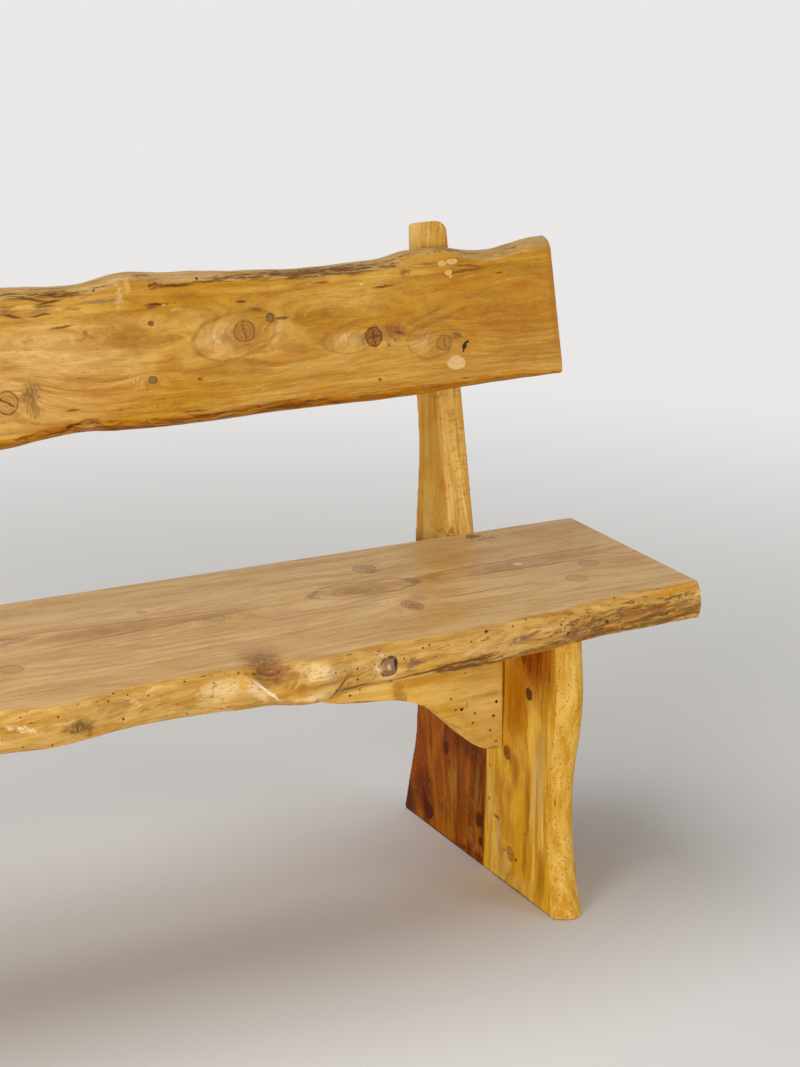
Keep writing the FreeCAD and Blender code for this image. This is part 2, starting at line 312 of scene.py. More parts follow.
BACK_DENTS = [
    ((290, 297, 34), (22, 20, 12), -0.8), ((467, 272, 34), (20, 18, 12), -0.7),
    ((567, 254, 34), (18, 16, 12), -0.5), ((-25, 243, 34), (24, 22, 12), -0.8),
    ((262, 296, 34), (12, 10, 12), 0.8), ((435, 268, 34), (16, 8, 12), 0.6),
    ((538, 255, 34), (12, 10, 12), 0.6), ((54, 206, 32), (6, 4, 12), 2.2),
    ((75, 205, 30), (15, 4, 14), -1.4), ((94, 205, 32), (6, 4, 12), 1.6),
    ((180, 342, 34), (15, 3, 10), 0.9), ((487, 335, 34), (18, 3, 10), 0.7),
    ((400, 362, 30), (60, 5, 20), 1.6), ((290, 366, 30), (50, 5, 20), 1.4),
    ((60, 348, 32), (60, 4, 20), 1.4), ((10, 356, 30), (40, 4, 20), 1.6),
    ((530, 352, 30), (30, 5, 20), 1.0), ((-350, 362, 30), (60, 5, 20), 1.6),
    ((-190, 300, 34), (20, 18, 12), -0.7),
]
LEG_DENTS = [
    ((584, -160, 210), (30, 30, 30), 0.8), ((590, -150, 120), (16, 30, 26), 0.7),
    ((584, -170, 300), (20, 30, 22), -0.4), ((570, -155, 60), (10, 20, 22), 1.0),
    ((598, -165, 30), (8, 20, 16), 1.2),
]


def ripples(points, *layers):
    """Depth of a rippled surface in millimetres, summed over layers of height, cell size and seed."""
    return sum(height * (1 + noise(points, cell, seed)) for height, cell, seed in layers)


def rounded(points, quads, rounds):
    """Turns the quads outwards and rounds the sharp edges."""
    quads = outward(points, quads)
    return relax(points, quads, rounds), quads


def slab_places(half):
    """Places along a slab, fine near its ends and a hair inside the solid."""
    return graded(2 * half - 2 * INSET, FINE, 0.0036) - half + INSET


# The seat: along x, from the rear edge to the live front edge, from the underside up
def build_seat():
    xs = slab_places(SEAT_HALF)
    ts = graded(1.0, 0.003, 0.024)
    ws = graded(1.0, 0.02, 0.038)
    thickness = SEAT_TOP - SEAT_UNDER
    heights = SEAT_UNDER + np.clip(ws, 0.004, 0.996) * thickness
    front = -FAR + live_rows(
        "seat_slab", seat_own, xs, heights, -FAR, (0, 1, 0), lambda x, z, start: (x, start, z)
    )
    cells, quads = box_surface((len(xs), len(ts), len(ws)))
    i, j, k = cells.T
    depth = REAR - front[i, k]
    points = np.stack([xs[i], REAR - ts[j] * depth, SEAT_UNDER + ws[k] * thickness], -1)
    points, quads = rounded(points, quads, 3)
    live = fade(front[i, -1] - points[:, 1], -0.010, 0.002)
    under = fade(points[:, 2], SEAT_UNDER + 0.004, SEAT_UNDER - 0.0005)
    inner = 1 - 0.8 * fade(np.abs(points[:, 0]), 0.738, 0.749)
    way = normals_of(points, quads)
    ripple = ripples(
        points,
        (1.1, (0.060, 0.03, 0.012), 1),
        (0.6, (0.024, 0.02, 0.0055), 2),
        (0.3, (0.012, 0.02, 0.0030), 3),
    )
    points = points - way * (ripple * live * inner * (1 - 0.5 * under) * MM)[:, None]
    return press(points, way, SEAT_DENTS), quads, {"live": live}


# The back: along x, up the slab, from the posts to its front
def build_back():
    def start_at(x, depth, height):
        return x, height, depth

    xs = slab_places(BACK_HALF)
    vs = graded(1.0, 0.005, 0.030)
    ws = graded(1.0, 0.03, 0.075)
    depths = np.clip(ws, 0.006, 0.994) * BACK_THICKNESS
    low = live_rows("backrest_slab", back_own, xs, depths, 0.0, (0, 1, 0), start_at)
    high = FAR - live_rows("backrest_slab", back_own, xs, depths, FAR, (0, -1, 0), start_at)
    cells, quads = box_surface((len(xs), len(vs), len(ws)))
    i, j, k = cells.T
    square = 0.7 * fade(xs, 0.66, 0.73)[:, None]
    low = low + square * (low.min(axis=1, keepdims=True) + 0.0005 - low)
    height = low[i, k] + vs[j] * (high[i, k] - low[i, k])
    spread = (0.0037 - 0.0030 * vs[j]) * fade(np.abs(xs[i]), 0.60, BACK_HALF)
    points = np.stack([xs[i] + np.sign(xs[i]) * spread, height, ws[k] * BACK_THICKNESS], -1)
    points, quads = rounded(points, quads, 2)
    crown = fade(points[:, 1] - high[i, -1], -0.010, 0.001)
    keel = fade(low[i, -1] - points[:, 1], -0.008, 0.001)
    drop = BACK_DROP + BACK_DROP_RIGHT * fade(points[:, 0], 0.04, 0.16)
    points[:, 1] -= drop * fade(low[i, -1] + BACK_RIM - points[:, 1], 0, BACK_RIM)
    middle = fade(np.abs(points[:, 0]), 0.60, 0.45)
    points[:, 1] += BACK_RISE * fade(points[:, 1] - high[i, -1] + BACK_RIM, 0, BACK_RIM) * middle
    way = normals_of(points, quads)
    ripple = ripples(points, (0.9, (0.055, 0.010, 0.012), 5), (0.5, (0.022, 0.0045, 0.007), 6))
    shelf = np.maximum(crown, keel) + 0.12
    points = points - way * (ripple * shelf * MM)[:, None]
    points = press(points, way, BACK_DENTS)
    return back_frame(points), quads, {"crown": crown, "keel": keel}


# A front leg board: up its grain, from the seam to the live front edge, from the inner face out
def build_front_board(node, side):
    zs = graded(SEAT_UNDER, FINE, 0.0034)
    ts = graded(1.0, 0.006, 0.030)
    ws = graded(1.0, 0.03, 0.070)
    across = side * (LEG_INNER + np.clip(ws, 0.006, 0.994) * BOARD)
    heights = np.clip(zs, 0.0003, SEAT_UNDER - 0.0003)
    front = -FAR + live_rows(
        node, seat_own, heights, across, -FAR, (0, 1, 0), lambda z, x, start: (x, start, z)
    )
    seam = REAR + SEAM_FOOT + (SEAM_HEAD - SEAM_FOOT) * zs / SEAT_UNDER
    cells, quads = box_surface((len(zs), len(ts), len(ws)))
    i, j, k = cells.T
    y = seam[i] + ts[j] * (front[i, k] - seam[i])
    points = np.stack([side * (LEG_INNER + ws[k] * BOARD), y, zs[i]], -1)
    points, quads = rounded(points, quads, 4)
    live = fade(front[i, 0] - points[:, 1], -0.006, 0.004)
    points[:, 1] -= BOARD_FORWARD * fade(-points[:, 1], 0.02, 0.14)
    way = normals_of(points, quads)
    ripple = ripples(points, (0.8, (0.014, 0.03, 0.060), 11), (0.35, (0.007, 0.02, 0.022), 12))
    points = points - way * (ripple * live * MM)[:, None]
    marks = [((side * c[0], c[1], c[2]), radii, sink) for c, radii, sink in LEG_DENTS]
    return press(points, way, marks), quads, {"live": live}


def remeshed(node, cell, rounds):
    """Even, dense skin over a node, with its sharp edges a little rounded."""
    mesh = frame["nodes"][node].data.copy()
    holder = bpy.data.objects.new("holder", mesh)
    scene.collection.objects.link(holder)
    work = bmesh.new()
    work.from_mesh(mesh)
    bmesh.ops.remove_doubles(work, verts=work.verts, dist=1e-6)
    work.to_mesh(mesh)
    work.free()
    change = holder.modifiers.new("skin", "REMESH")
    change.mode = "VOXEL"
    change.voxel_size = cell
    made = holder.evaluated_get(bpy.context.evaluated_depsgraph_get()).to_mesh()
    points = np.empty(len(made.vertices) * 3, np.float32)
    made.vertices.foreach_get("co", points)
    quads = np.empty(len(made.loops), np.int32)
    made.loops.foreach_get("vertex_index", quads)
    points = points.reshape(-1, 3).astype(float)
    quads = quads.reshape(-1, 4)
    bpy.data.objects.remove(holder)
    bpy.data.meshes.remove(mesh)
    return rounded(points, quads, rounds)


def build_rear_post(node, side):
    """Leg board and back post in one, with a chipped inner front corner above the seat."""
    points, quads = remeshed(node, 0.0027, 3)
    sawn = fade(points[:, 2], SEAT_UNDER, SEAT_TOP)
    front = REAR + np.maximum(points[:, 2] - SEAT_TOP, 0) * math.tan(RAKE)
    inner = side * points[:, 0] - LEG_INNER
    ahead = points[:, 1] - front
    level = points * (0, 0, 1)
    chip = 0.0022 + 0.0026 * noise(level, (1, 1, 0.017), 21)
    chip += 0.0016 * noise(level, (1, 1, 0.006), 22)
    short = np.maximum(chip - (inner + ahead), 0) * sawn * (points[:, 2] > SEAT_TOP)
    points[:, 0] += side * short / 2
    points[:, 1] += short / 2
    way = normals_of(points, quads)
    points += 0.0005 * way
    points[:, 2] = np.clip(points[:, 2], 0.0, POST_TOP)
    # The dark foot ends at the seat, but fades out slowly on the faces behind and outside
    hidden = fade(side * way[:, 0] + way[:, 1], 0.2, 0.8)
    level = points[:, 2] + 0.05 * hidden * noise(points, (0.012, 0.012, 0.30), 23)
    above = fade(level, SEAT_UNDER - 0.17 * hidden, SEAT_TOP + 0.12 * hidden)
    return points, quads, {"above": above}


def build_bracket(node, side):
    """Knee bracket: from the leg inwards, from its curved underside up, from its front back."""
    us = graded(BRACKET_REACH, FINE, 0.0026)
    vs = graded(1.0, 0.008, 0.045)
    ws = graded(1.0, 0.03, 0.085)
    points, faces = node_arrays(node)
    tree = BVHTree.FromPolygons([tuple(p) for p in points], faces)
    y = BRACKET_FRONT + BOARD / 2
    xs = side * (LEG_INNER - np.clip(us, 0.0003, BRACKET_REACH))
    low = edge_depths(tree, [(x, y, 0.0) for x in xs], (0, 0, 1))
    low = soften(fill_gaps(low[:, None]), 2)[:, 0]
    cells, quads = box_surface((len(us), len(vs), len(ws)))
    i, j, k = cells.T
    height = low[i] + vs[j] * (SEAT_UNDER - low[i])
    points = np.stack([side * (LEG_INNER - us[i]), BRACKET_FRONT + ws[k] * BOARD, height], -1)
    points, quads = rounded(points, quads, 4)
    dent = 0.5 + 0.5 * noise(points, (0.05, 0.05, 0.03), 61)
    return points - normals_of(points, quads) * (dent * 0.0004)[:, None], quads, {}


def build_patches(spots, seed):
    """Flush plugs and filler: low irregular discs that stand a hair proud of the back's face."""
    sectors = 48
    shares = np.concatenate([np.linspace(0.02, 0.9, 7), [0.97, 1.0, 1.0]])
    depths = BACK_THICKNESS + np.concatenate([np.full(7, 0.00035), [0.00025, 0.0, -0.006]])
    turn = np.arange(sectors) * 2 * math.pi / sectors
    around = np.stack([np.cos(turn), np.sin(turn), np.zeros(sectors)], -1)
    all_points = []
    all_quads = []
    for number, (x, height, wide, tall) in enumerate(spots):
        wave = 1 + 0.10 * noise(around * 1.3 + number * 7.1, (1, 1, 1), seed)
        wave += 0.05 * noise(around * 3.1 + number * 3.7, (1, 1, 1), seed + 1)
        for share, depth in zip(shares, depths):
            across = x + wide * share * wave * np.cos(turn)
            up = height + tall * share * wave * np.sin(turn)
            all_points.append(back_frame(np.stack([across, up, np.full(sectors, depth)], -1)))
        for ring in range(len(shares) - 1):
            base = (number * len(shares) + ring) * sectors
            a = base + np.arange(sectors)
            b = base + (np.arange(sectors) + 1) % sectors
            all_quads.append(np.stack([a, a + sectors, b + sectors, b], -1))
    return np.concatenate(all_points), np.concatenate(all_quads), {}


# Plugs and filler on the back: place along, place up the slab, half width and half height
PLUGS = [(LEG_MIDDLE - 0.002, 0.2265, 0.0145, 0.0092), (-LEG_MIDDLE, 0.227, 0.0098, 0.0090)]
FILLERS = [
    (LEG_MIDDLE - 0.0095, 0.3555, 0.0062, 0.0042),
    (LEG_MIDDLE + 0.0050, 0.3568, 0.0078, 0.0036),
    (LEG_MIDDLE - 0.0020, 0.3432, 0.0056, 0.0036),
    (LEG_MIDDLE + 0.0012, 0.3380, 0.0026, 0.0024),
    (-LEG_MIDDLE, 0.350, 0.0090, 0.0070),
]
SIDES = {"right": 1, "left": -1}
pieces = {}
pieces["seat"] = add_piece("seat_live_slab", *build_seat(), "seat_slab", "seat_wood")
pieces["back"] = add_piece("back_live_slab", *build_back(), "backrest_slab", "back_wood")
for word, side in SIDES.items():
    for part, name, stem, slot, build in (
        ("front_board_", "front_board_", "leg_front_board_", "leg_wood", build_front_board),
        ("rear_post_", "rear_post_", "leg_rear_post_", "post_wood", build_rear_post),
        ("bracket_", "knee_bracket_", "seat_bracket_", "bracket_wood", build_bracket),
    ):
        node = stem + word
        pieces[part + word] = add_piece(name + word, *build(node, side), node, slot)
pieces["plugs"] = add_piece("plug_faces", *build_patches(PLUGS, 31), "lower_screw_plugs", "plug_wood")
pieces["filler"] = add_piece("filler_faces", *build_patches(FILLERS, 41), "upper_filler_plugs", "filler")


# Shorthand for building a material's nodes
class Nodes:
    """One node tree and short ways to add to it."""

    def __init__(self, tree):
        self.tree = tree

    def put(self, socket, value):
        if isinstance(value, bpy.types.NodeSocket):
            self.tree.links.new(value, socket)
        else:
            socket.default_value = value

    def make(self, kind, inputs, **settings):
        made = self.tree.nodes.new("ShaderNode" + kind)
        for key, value in settings.items():
            setattr(made, key, value)
        for key, value in inputs.items():
            self.put(made.inputs[key], value)
        return made

    def calc(self, operation, *values):
        return self.make("Math", dict(enumerate(values)), operation=operation).outputs[0]

    def vector(self, operation, *values):
        made = self.make("VectorMath", dict(enumerate(values)), operation=operation)
        return made.outputs["Value" if operation in ("LENGTH", "DOT_PRODUCT") else "Vector"]

    def times(self, vector, factor):
        return self.make("VectorMath", {0: vector, "Scale": factor}, operation="SCALE").outputs["Vector"]

    def step(self, value, low, high, share=1.0):
        """Smooth step from 0 at low to the share at high."""
        inputs = {"Value": value, "From Min": low, "From Max": high, "To Max": share}
        return self.make("MapRange", inputs, interpolation_type="SMOOTHSTEP").outputs["Result"]

    def grain(self, place, size, detail=2.0, rough=0.5, wanted="Fac"):
        """Noise whose features have about the given size in metres along each axis."""
        scaled = self.vector("MULTIPLY", place, tuple(1 / s for s in size))
        inputs = {"Vector": scaled, "Scale": 1.0, "Detail": detail, "Roughness": rough}
        return self.make("TexNoise", inputs).outputs[wanted]

    def wander(self, place, size, detail, rough):
        """Noise vector round zero, up to half a unit along each axis."""
        return self.vector("SUBTRACT", self.grain(place, size, detail, rough, "Color"), (0.5, 0.5, 0.5))

    def shifted(self, place, way, reach):
        """A place moved by a share of a vector."""
        return self.vector("ADD", place, self.vector("MULTIPLY", way, reach))

    def blend(self, share, low, high, mode="MIX"):
        made = self.make("Mix", {0: share}, data_type="RGBA", blend_type=mode)
        for index, value in ((6, low), (7, high)):
            self.put(made.inputs[index], value if hasattr(value, "links") else (*value, 1))
        return made.outputs[2]

    def shade(self, share, colour, tint):
        """Multiplies a colour by a tint where the share is 1."""
        return self.blend(share, colour, tint, "MULTIPLY")


def make_group(name, inputs, outputs, build):
    """Node group with vector inputs and number outputs."""
    group = bpy.data.node_groups.new(name, "ShaderNodeTree")
    for key in inputs:
        group.interface.new_socket(key, in_out="INPUT", socket_type="NodeSocketVector")
    for key in outputs:
        group.interface.new_socket(key, in_out="OUTPUT", socket_type="NodeSocketFloat")
    b = Nodes(group)
    source = group.nodes.new("NodeGroupInput")
    target = group.nodes.new("NodeGroupOutput")
    for key, value in build(b, source.outputs).items():
        group.links.new(value, target.inputs[key])
    return group


def knot_nodes(b, given):
    """The parts of a knot: its wood, its dark outline, its rings and the checks across it."""
    arm = b.vector("MULTIPLY", b.vector("SUBTRACT", given["Place"], given["Centre"]), given["Squeeze"])
    away = b.vector("LENGTH", arm)
    wide = b.vector("LENGTH", b.vector("MULTIPLY", arm, (0.30, 0.62, 0.3)))
    rim = b.calc("ABSOLUTE", b.calc("SUBTRACT", away, 0.97))
    rings = b.calc("SINE", b.calc("MULTIPLY", away, 17.0))
    checks = [b.calc("ABSOLUTE", b.vector("DOT_PRODUCT", arm, given[key])) for key in ("Check", "Cross")]
    check = b.calc("MULTIPLY", b.step(b.calc("MINIMUM", *checks), 0.11, 0.02), b.step(away, 0.95, 0.6))
    core = b.step(away, 1.08, 0.90)
    return {
        "Core": core,
        "Rim": b.step(rim, 0.17, 0.02),
        "Rings": b.calc("MULTIPLY", b.step(rings, 0.9, -0.9), core),
        "Lift": b.calc("DIVIDE", 1.0, b.calc("ADD", 1.0, b.calc("POWER", wide, 2.6))),
        "Check": check,
    }


KNOT_INPUTS = ["Place", "Centre", "Squeeze", "Check", "Cross"]
KNOT_OUTPUTS = ["Core", "Rim", "Rings", "Lift", "Check"]
KNOT = make_group("knot", KNOT_INPUTS, KNOT_OUTPUTS, knot_nodes)


def own_place(b, axes):
    """A piece's own axes, for its patterns and for its marks: along the grain, across, out of the face."""
    where = b.make("TexCoord", {}).outputs["Object"]
    if axes == "seat":
        return where, where
    if axes == "back":
        moved = b.vector("SUBTRACT", where, (0, REAR, SEAT_TOP))
        inputs = {"Vector": moved, "Angle": RAKE - math.pi / 2}
        turned = b.make("VectorRotate", inputs, rotation_type="X_AXIS").outputs[0]
        return turned, turned
    x, y, z = b.make("SeparateXYZ", {"Vector": where}).outputs
    side = b.calc("ABSOLUTE", x)
    if axes == "upright":
        along, marked, across, out, depth = z, z, y, x, b.calc("SUBTRACT", side, LEG_INNER)
    else:
        along, marked, across, out, depth = x, side, z, y, b.calc("SUBTRACT", BRACKET_FRONT, y)
    place = b.make("CombineXYZ", {"X": along, "Y": across, "Z": out}).outputs[0]
    face = b.make("CombineXYZ", {"X": marked, "Y": across, "Z": depth}).outputs[0]
    return place, face


# Knots: colour of the wood and of the outline, then how strongly wood, outline and checks show
KNOTS = {
    "brown": ((0.260, 0.085, 0.008), (0.080, 0.018, 0.002), 0.80, 0.80, 0.75),
    "light": ((0.400, 0.190, 0.032), (0.190, 0.075, 0.010), 0.75, 0.65, 0.70),
    "hoop": ((0.500, 0.250, 0.050), (0.170, 0.065, 0.010), 0.50, 0.80, 0.90),
    "dark": ((0.080, 0.016, 0.001), (0.035, 0.006, 0.001), 0.88, 0.50, 0.0),
    "grey": ((0.200, 0.120, 0.045), (0.050, 0.024, 0.008), 0.75, 0.95, 0.0),
    "bark": ((0.240, 0.115, 0.060), (0.035, 0.010, 0.004), 0.85, 0.85, 0.0),
    "faint": ((0.390, 0.225, 0.080), (0.230, 0.120, 0.034), 0.35, 0.55, 0.0),
}
NO_CROSS = (30, 30, 30)

# Faces that carry marks: their level and depth in millimetres, and which axis points out of them
SHEETS = {
    "top": (430, 40, 2),
    "edge": (-238, 30, 1),
    "front": (34, 20, 2),
    "side": (0, 20, 2),
    "inner": (0, 6, 2),
}

# Marks: which distortion of the place they use, their shape, their texture and how deep they sink
SPOTS = {
    "Soft": ("frayed", "Soft", "mottle", 0.0),
    "Streaky": ("frayed", "Soft", "hair", 0.0),
    "Wrinkled": ("frayed", "Soft", "wrinkle", 0.3),
    "Grooved": ("nearly", "Soft", "hair", 0.5),
    "Smooth": ("nearly", "Soft", None, 0.0),
    "Crack": ("nearly", "Soft", None, 0.8),
    "Plain": ("face", "Soft", None, 0.0),
    "Sharp": ("nearly", "Sharp", None, 0.0),
    "Hole": ("nearly", "Sharp", None, 1.4),
    "Ring": ("swayed", "Ring", "mottle", 0.1),
}

# Where a mark starts to show and where it has its full share, in multiples of its radii
RIMS = {"Soft": (1.15, 0.35), "Sharp": (1.05, 0.90)}


def on_sheet(sheet, u, v, wide, tall):
    """Centre and radii of a mark on a face, in metres."""
    level, deep, out = SHEETS[sheet]
    if sheet == "edge":
        # The seat's live edge recedes towards its ends
        level += 38 * min(max((abs(u) - 470) / 200, 0.0), 1.0)
    centre, radii = [u, v], [wide, tall]
    centre.insert(out, level)
    radii.insert(out, deep)
    return [c * MM for c in centre], [r * MM for r in radii]


def spot(b, place, sheet, row, shape, share, slope=0.0):
    """How far a place lies inside a slanted ellipsoid or near its outline, from 0 to the share."""
    centre, radii = on_sheet(sheet, *row)
    scales = [1 / r for r in radii]
    arm = b.vector("MULTIPLY_ADD", place, scales, [-c / r for c, r in zip(centre, radii)])
    if slope:
        lift = [0.0, -slope * row[2] / row[3]]
        lift.insert(SHEETS[sheet][2], 0.0)
        arm = b.vector("ADD", arm, b.times(lift, b.vector("DOT_PRODUCT", arm, (1, 0, 0))))
    away = b.vector("LENGTH", arm)
    if shape == "Ring":
        return b.step(b.calc("ABSOLUTE", b.calc("SUBTRACT", away, 1.0)), 0.12, 0.01, share)
    return b.step(away, *RIMS[shape], share)


def scaled(values, factor):
    return tuple(v * factor for v in values)


def mark_nodes(b, colour, relief, marks, places, textures):
    """Paints marks over a colour, each with its kind's edge, texture and depth."""
    for sheet, rows in marks.items():
        for u, v, wide, tall, tint, share, kind, *slope in rows:
            distortion, shape, texture, sink = SPOTS[kind]
            mask = spot(b, places[distortion], sheet, (u, v, wide, tall), shape, share, *slope)
            if texture in textures:
                mask = b.calc("MULTIPLY", mask, textures[texture])
            colour = b.blend(mask, colour, tint)
            if sink:
                relief = b.calc("MULTIPLY_ADD", mask, -sink, relief)
    return colour, relief


def worm_holes(b, place, mask, live):
    """Small dark holes, one in some of the cells where the mask allows it."""
    cells = b.make("TexVoronoi", {"Vector": place, "Scale": 1 / (live["hole_gap"] * MM), "Randomness": 1.0})
    pick, width, _ = b.make("SeparateColor", {"Color": cells.outputs["Color"]}).outputs
    reach = b.calc("MULTIPLY_ADD", width, 0.12, 0.12)
    hole = b.step(b.calc("SUBTRACT", reach, cells.outputs["Distance"]), 0.0, 0.03)
    chosen = b.calc("LESS_THAN", pick, b.calc("MULTIPLY", mask, live["holes"]))
    return b.calc("MULTIPLY", hole, chosen)


def live_nodes(b, colour, relief, place, face, hair, look):
    """Bark-side wood along a live edge: golden, with dark grooves and worm holes."""
    bent = b.shifted(place, b.wander(place, (0.05, 0.02, 0.02), 2.0, 0.5), (0.0, 0.012, 0.012))
    along = b.make("SeparateXYZ", {"Vector": place}).outputs[0]
    for key, live in look["live"].items():
        size = live["grain"]
        tilted = b.vector("SUBTRACT", bent, b.times((0, 0, live["slant"]), along))
        mask = b.make("Attribute", {}, attribute_name=key).outputs["Fac"]
        ragged = b.calc("MULTIPLY", b.grain(place, scaled(size, 0.3)), 0.3)
        mask = b.step(b.calc("ADD", mask, ragged), 0.38, 0.72)
        tone = b.grain(tilted, size, 4.0, 0.68)
        gold = b.blend(b.step(tone, 0.36, 0.64), live["gold"], live["brown"])
        pale = b.step(b.grain(tilted, scaled(size, 0.6), 3.0, 0.6), 0.47, 0.70, live["pale_share"])
        gold = b.shade(b.calc("MULTIPLY", hair, 0.30), b.blend(pale, gold, live["pale"]), (0.66, 0.52, 0.30))
        colour = b.blend(b.calc("MULTIPLY", mask, live["share"]), colour, gold)
        region = live["grooves"]
        for sheet, u, v, wide, tall, share in live["dark"]:
            region = b.calc("ADD", spot(b, face, sheet, (u, v, wide, tall), "Soft", share), region)
        smudge = b.step(b.calc("MULTIPLY_ADD", region, 0.14, tone), 0.58, 0.70)
        smudge = b.calc("MULTIPLY", b.calc("MULTIPLY", smudge, mask), 0.72)
        colour = b.blend(smudge, colour, live["smudge"])
        groove = b.grain(tilted, scaled(size, 0.30), 3.0, 0.70)
        cut = b.step(b.calc("MULTIPLY_ADD", region, 0.14, groove), 0.59, 0.67)
        cut = b.calc("MULTIPLY", cut, mask)
        colour = b.blend(b.calc("MULTIPLY", cut, 0.80), colour, live["cut"])
        relief = b.calc("MULTIPLY_ADD", cut, -0.5, b.calc("MULTIPLY_ADD", tone, -0.9, relief))
        hole = worm_holes(b, place, mask, live)
        colour = b.blend(b.calc("MULTIPLY", hole, 0.90), colour, (0.09, 0.026, 0.002))
        relief = b.calc("MULTIPLY_ADD", hole, -0.9, relief)
    return colour, relief


def saw_nodes(b, colour, relief, face):
    """Short saw marks across the outer half of the sawn front of a post."""
    along, across, depth = b.make("SeparateXYZ", {"Vector": face}).outputs
    lean = b.calc("MULTIPLY_ADD", along, math.tan(RAKE), REAR - SEAT_TOP * math.tan(RAKE))
    front = b.step(b.calc("SUBTRACT", across, lean), 0.004, 0.001)
    front = b.calc("MULTIPLY", front, b.calc("GREATER_THAN", along, SEAT_TOP))
    outer = b.calc("MULTIPLY", b.step(depth, 0.010, 0.022), b.step(along, 0.445, 0.475))
    outer = b.calc("MULTIPLY", outer, b.step(along, 0.615, 0.575))
    lines = b.grain(face, (0.0042, 0.05, 0.012), 1.0, 0.5)
    lines = b.step(b.calc("MULTIPLY_ADD", outer, 0.12, lines), 0.60, 0.72)
    lines = b.calc("MULTIPLY", lines, front)
    colour = b.shade(b.calc("MULTIPLY", lines, 0.45), colour, (0.66, 0.52, 0.28))
    return colour, b.calc("MULTIPLY_ADD", lines, -0.25, relief)


# Distortions of the marks' places: the noise's cell size, detail and roughness, then how far places move
FRAY = ((0.012, 0.006, 0.006), 3.0, 0.65)
SWAY = ((0.050, 0.018, 0.018), 1.0, 0.5)
NEAR = (0.006, 0.005, 0.005)
WIDE = (0.030, 0.012, 0.012)


def knot_parts(b, place, look):
    """The nodes and kinds of a piece's knots, and how far they lift its growth rings."""
    knots = []
    lift = 0.0
    for sheet, u, v, wide, tall, kind, rise, angle in look["knots"]:
        centre, radii = on_sheet(sheet, u, v, wide, tall)
        turn = math.radians(angle)
        check = (math.cos(turn), math.sin(turn), 0)
        cross = (-check[1], check[0], 0) if kind == "brown" else NO_CROSS
        made = b.tree.nodes.new("ShaderNodeGroup")
        made.node_tree = KNOT
        values = (place, centre, [1 / r for r in radii], check, cross)
        for key, value in zip(KNOT_INPUTS, values):
            b.put(made.inputs[key], value)
        knots.append((made.outputs, kind))
        lift = b.calc("MULTIPLY_ADD", made.outputs["Lift"], rise * MM, lift)
    return knots, lift


def growth(b, place, face, drift, lift, look):
    """Age of the wood as its distance from the log's heart, and the place that all streaks follow."""
    heart = (0, look["heart"][0] * MM, look["heart"][1] * MM)
    arm = b.vector("SUBTRACT", b.vector("ADD", face, drift), heart)
    age = b.calc("ADD", b.vector("LENGTH", b.vector("MULTIPLY", arm, (0, 1, 1))), lift)
    along, across, _ = b.make("SeparateXYZ", {"Vector": place}).outputs
    flow = b.make("CombineXYZ", {"X": along, "Y": age, "Z": b.calc("MULTIPLY", across, 0.25)}).outputs[0]
    return age, flow


def mark_places(b, face, flow):
    """Distorted places for the marks.

    They hang on the flow, so that Cycles reaches the marks after the base colour and keeps only one of
    them at a time on its small stack.
    """
    fray = b.wander(flow, *FRAY)
    sway = b.wander(flow, *SWAY)
    near = b.shifted(face, fray, NEAR)
    return {
        "face": face,
        "nearly": near,
        "frayed": b.shifted(face, fray, WIDE),
        "swayed": b.shifted(near, sway, WIDE),
    }


def late_wood(b, age, flow, look):
    """The dark late part of each growth ring."""
    share = b.calc("FRACT", b.calc("DIVIDE", age, look["ring"] * MM))
    late = b.calc("MULTIPLY", b.step(share, 0.25, 0.90), b.step(share, 1.0, 0.92))
    return b.calc("MULTIPLY", late, b.calc("MULTIPLY", b.grain(flow, (0.20, 0.02, 0.03)), look["ring_depth"]))


def plain_wood(b, place, flow, places, late, look):
    """Colour of the wood with its halos, streaks and fibres, its patches and the textures for marks."""
    tones = [look[key] for key in ("mid", "pale", "deep")]
    if "foot" in look:
        above = b.make("Attribute", {}, attribute_name="above").outputs["Fac"]
        tones = [b.blend(above, low, high) for low, high in zip(look["foot"], tones)]
    broad = b.grain(flow, look["broad"], 4.0, 0.6)
    colour = b.blend(b.step(broad, 0.38, 0.60), tones[0], tones[1])
    colour, _ = mark_nodes(b, colour, 0.0, look["halos"], places, {})
    streak = b.step(b.grain(flow, (0.16, 0.007, 0.02), 4.0, 0.65), 0.46, 0.64)
    colour = b.blend(b.calc("MULTIPLY", streak, look["streak"]), colour, tones[2])
    colour = b.shade(late, colour, (0.60, 0.45, 0.27))
    hair = b.step(b.grain(flow, (0.040, 0.0024, 0.010), 3.0, 0.7), 0.42, 0.58)
    colour = b.shade(b.calc("MULTIPLY", hair, look["fibre"]), colour, (0.70, 0.56, 0.34))
    patch = b.grain(place, (0.07, 0.030, 0.030), 4.0, 0.65)
    colour = b.shade(b.calc("MULTIPLY", b.step(patch, 0.47, 0.64), look["patch"]), colour, (0.84, 0.68, 0.38))
    fleck = b.grain(place, (0.009, 0.0020, 0.0020), 2.0, 0.6)
    colour = b.shade(b.step(fleck, 0.62, 0.73, look["fleck"]), colour, (0.46, 0.32, 0.16))
    colour = b.blend(b.step(fleck, 0.40, 0.28, 0.6 * look["fleck"]), colour, scaled(look["pale"], 1.12))
    textures = {
        "hair": hair,
        "mottle": b.step(b.grain(place, (0.008, 0.0035, 0.0035), 3.0, 0.75), 0.30, 0.54),
        "wrinkle": b.step(b.grain(place, (0.0026, 0.008, 0.008), 3.0, 0.7), 0.42, 0.55),
    }
    return colour, patch, textures


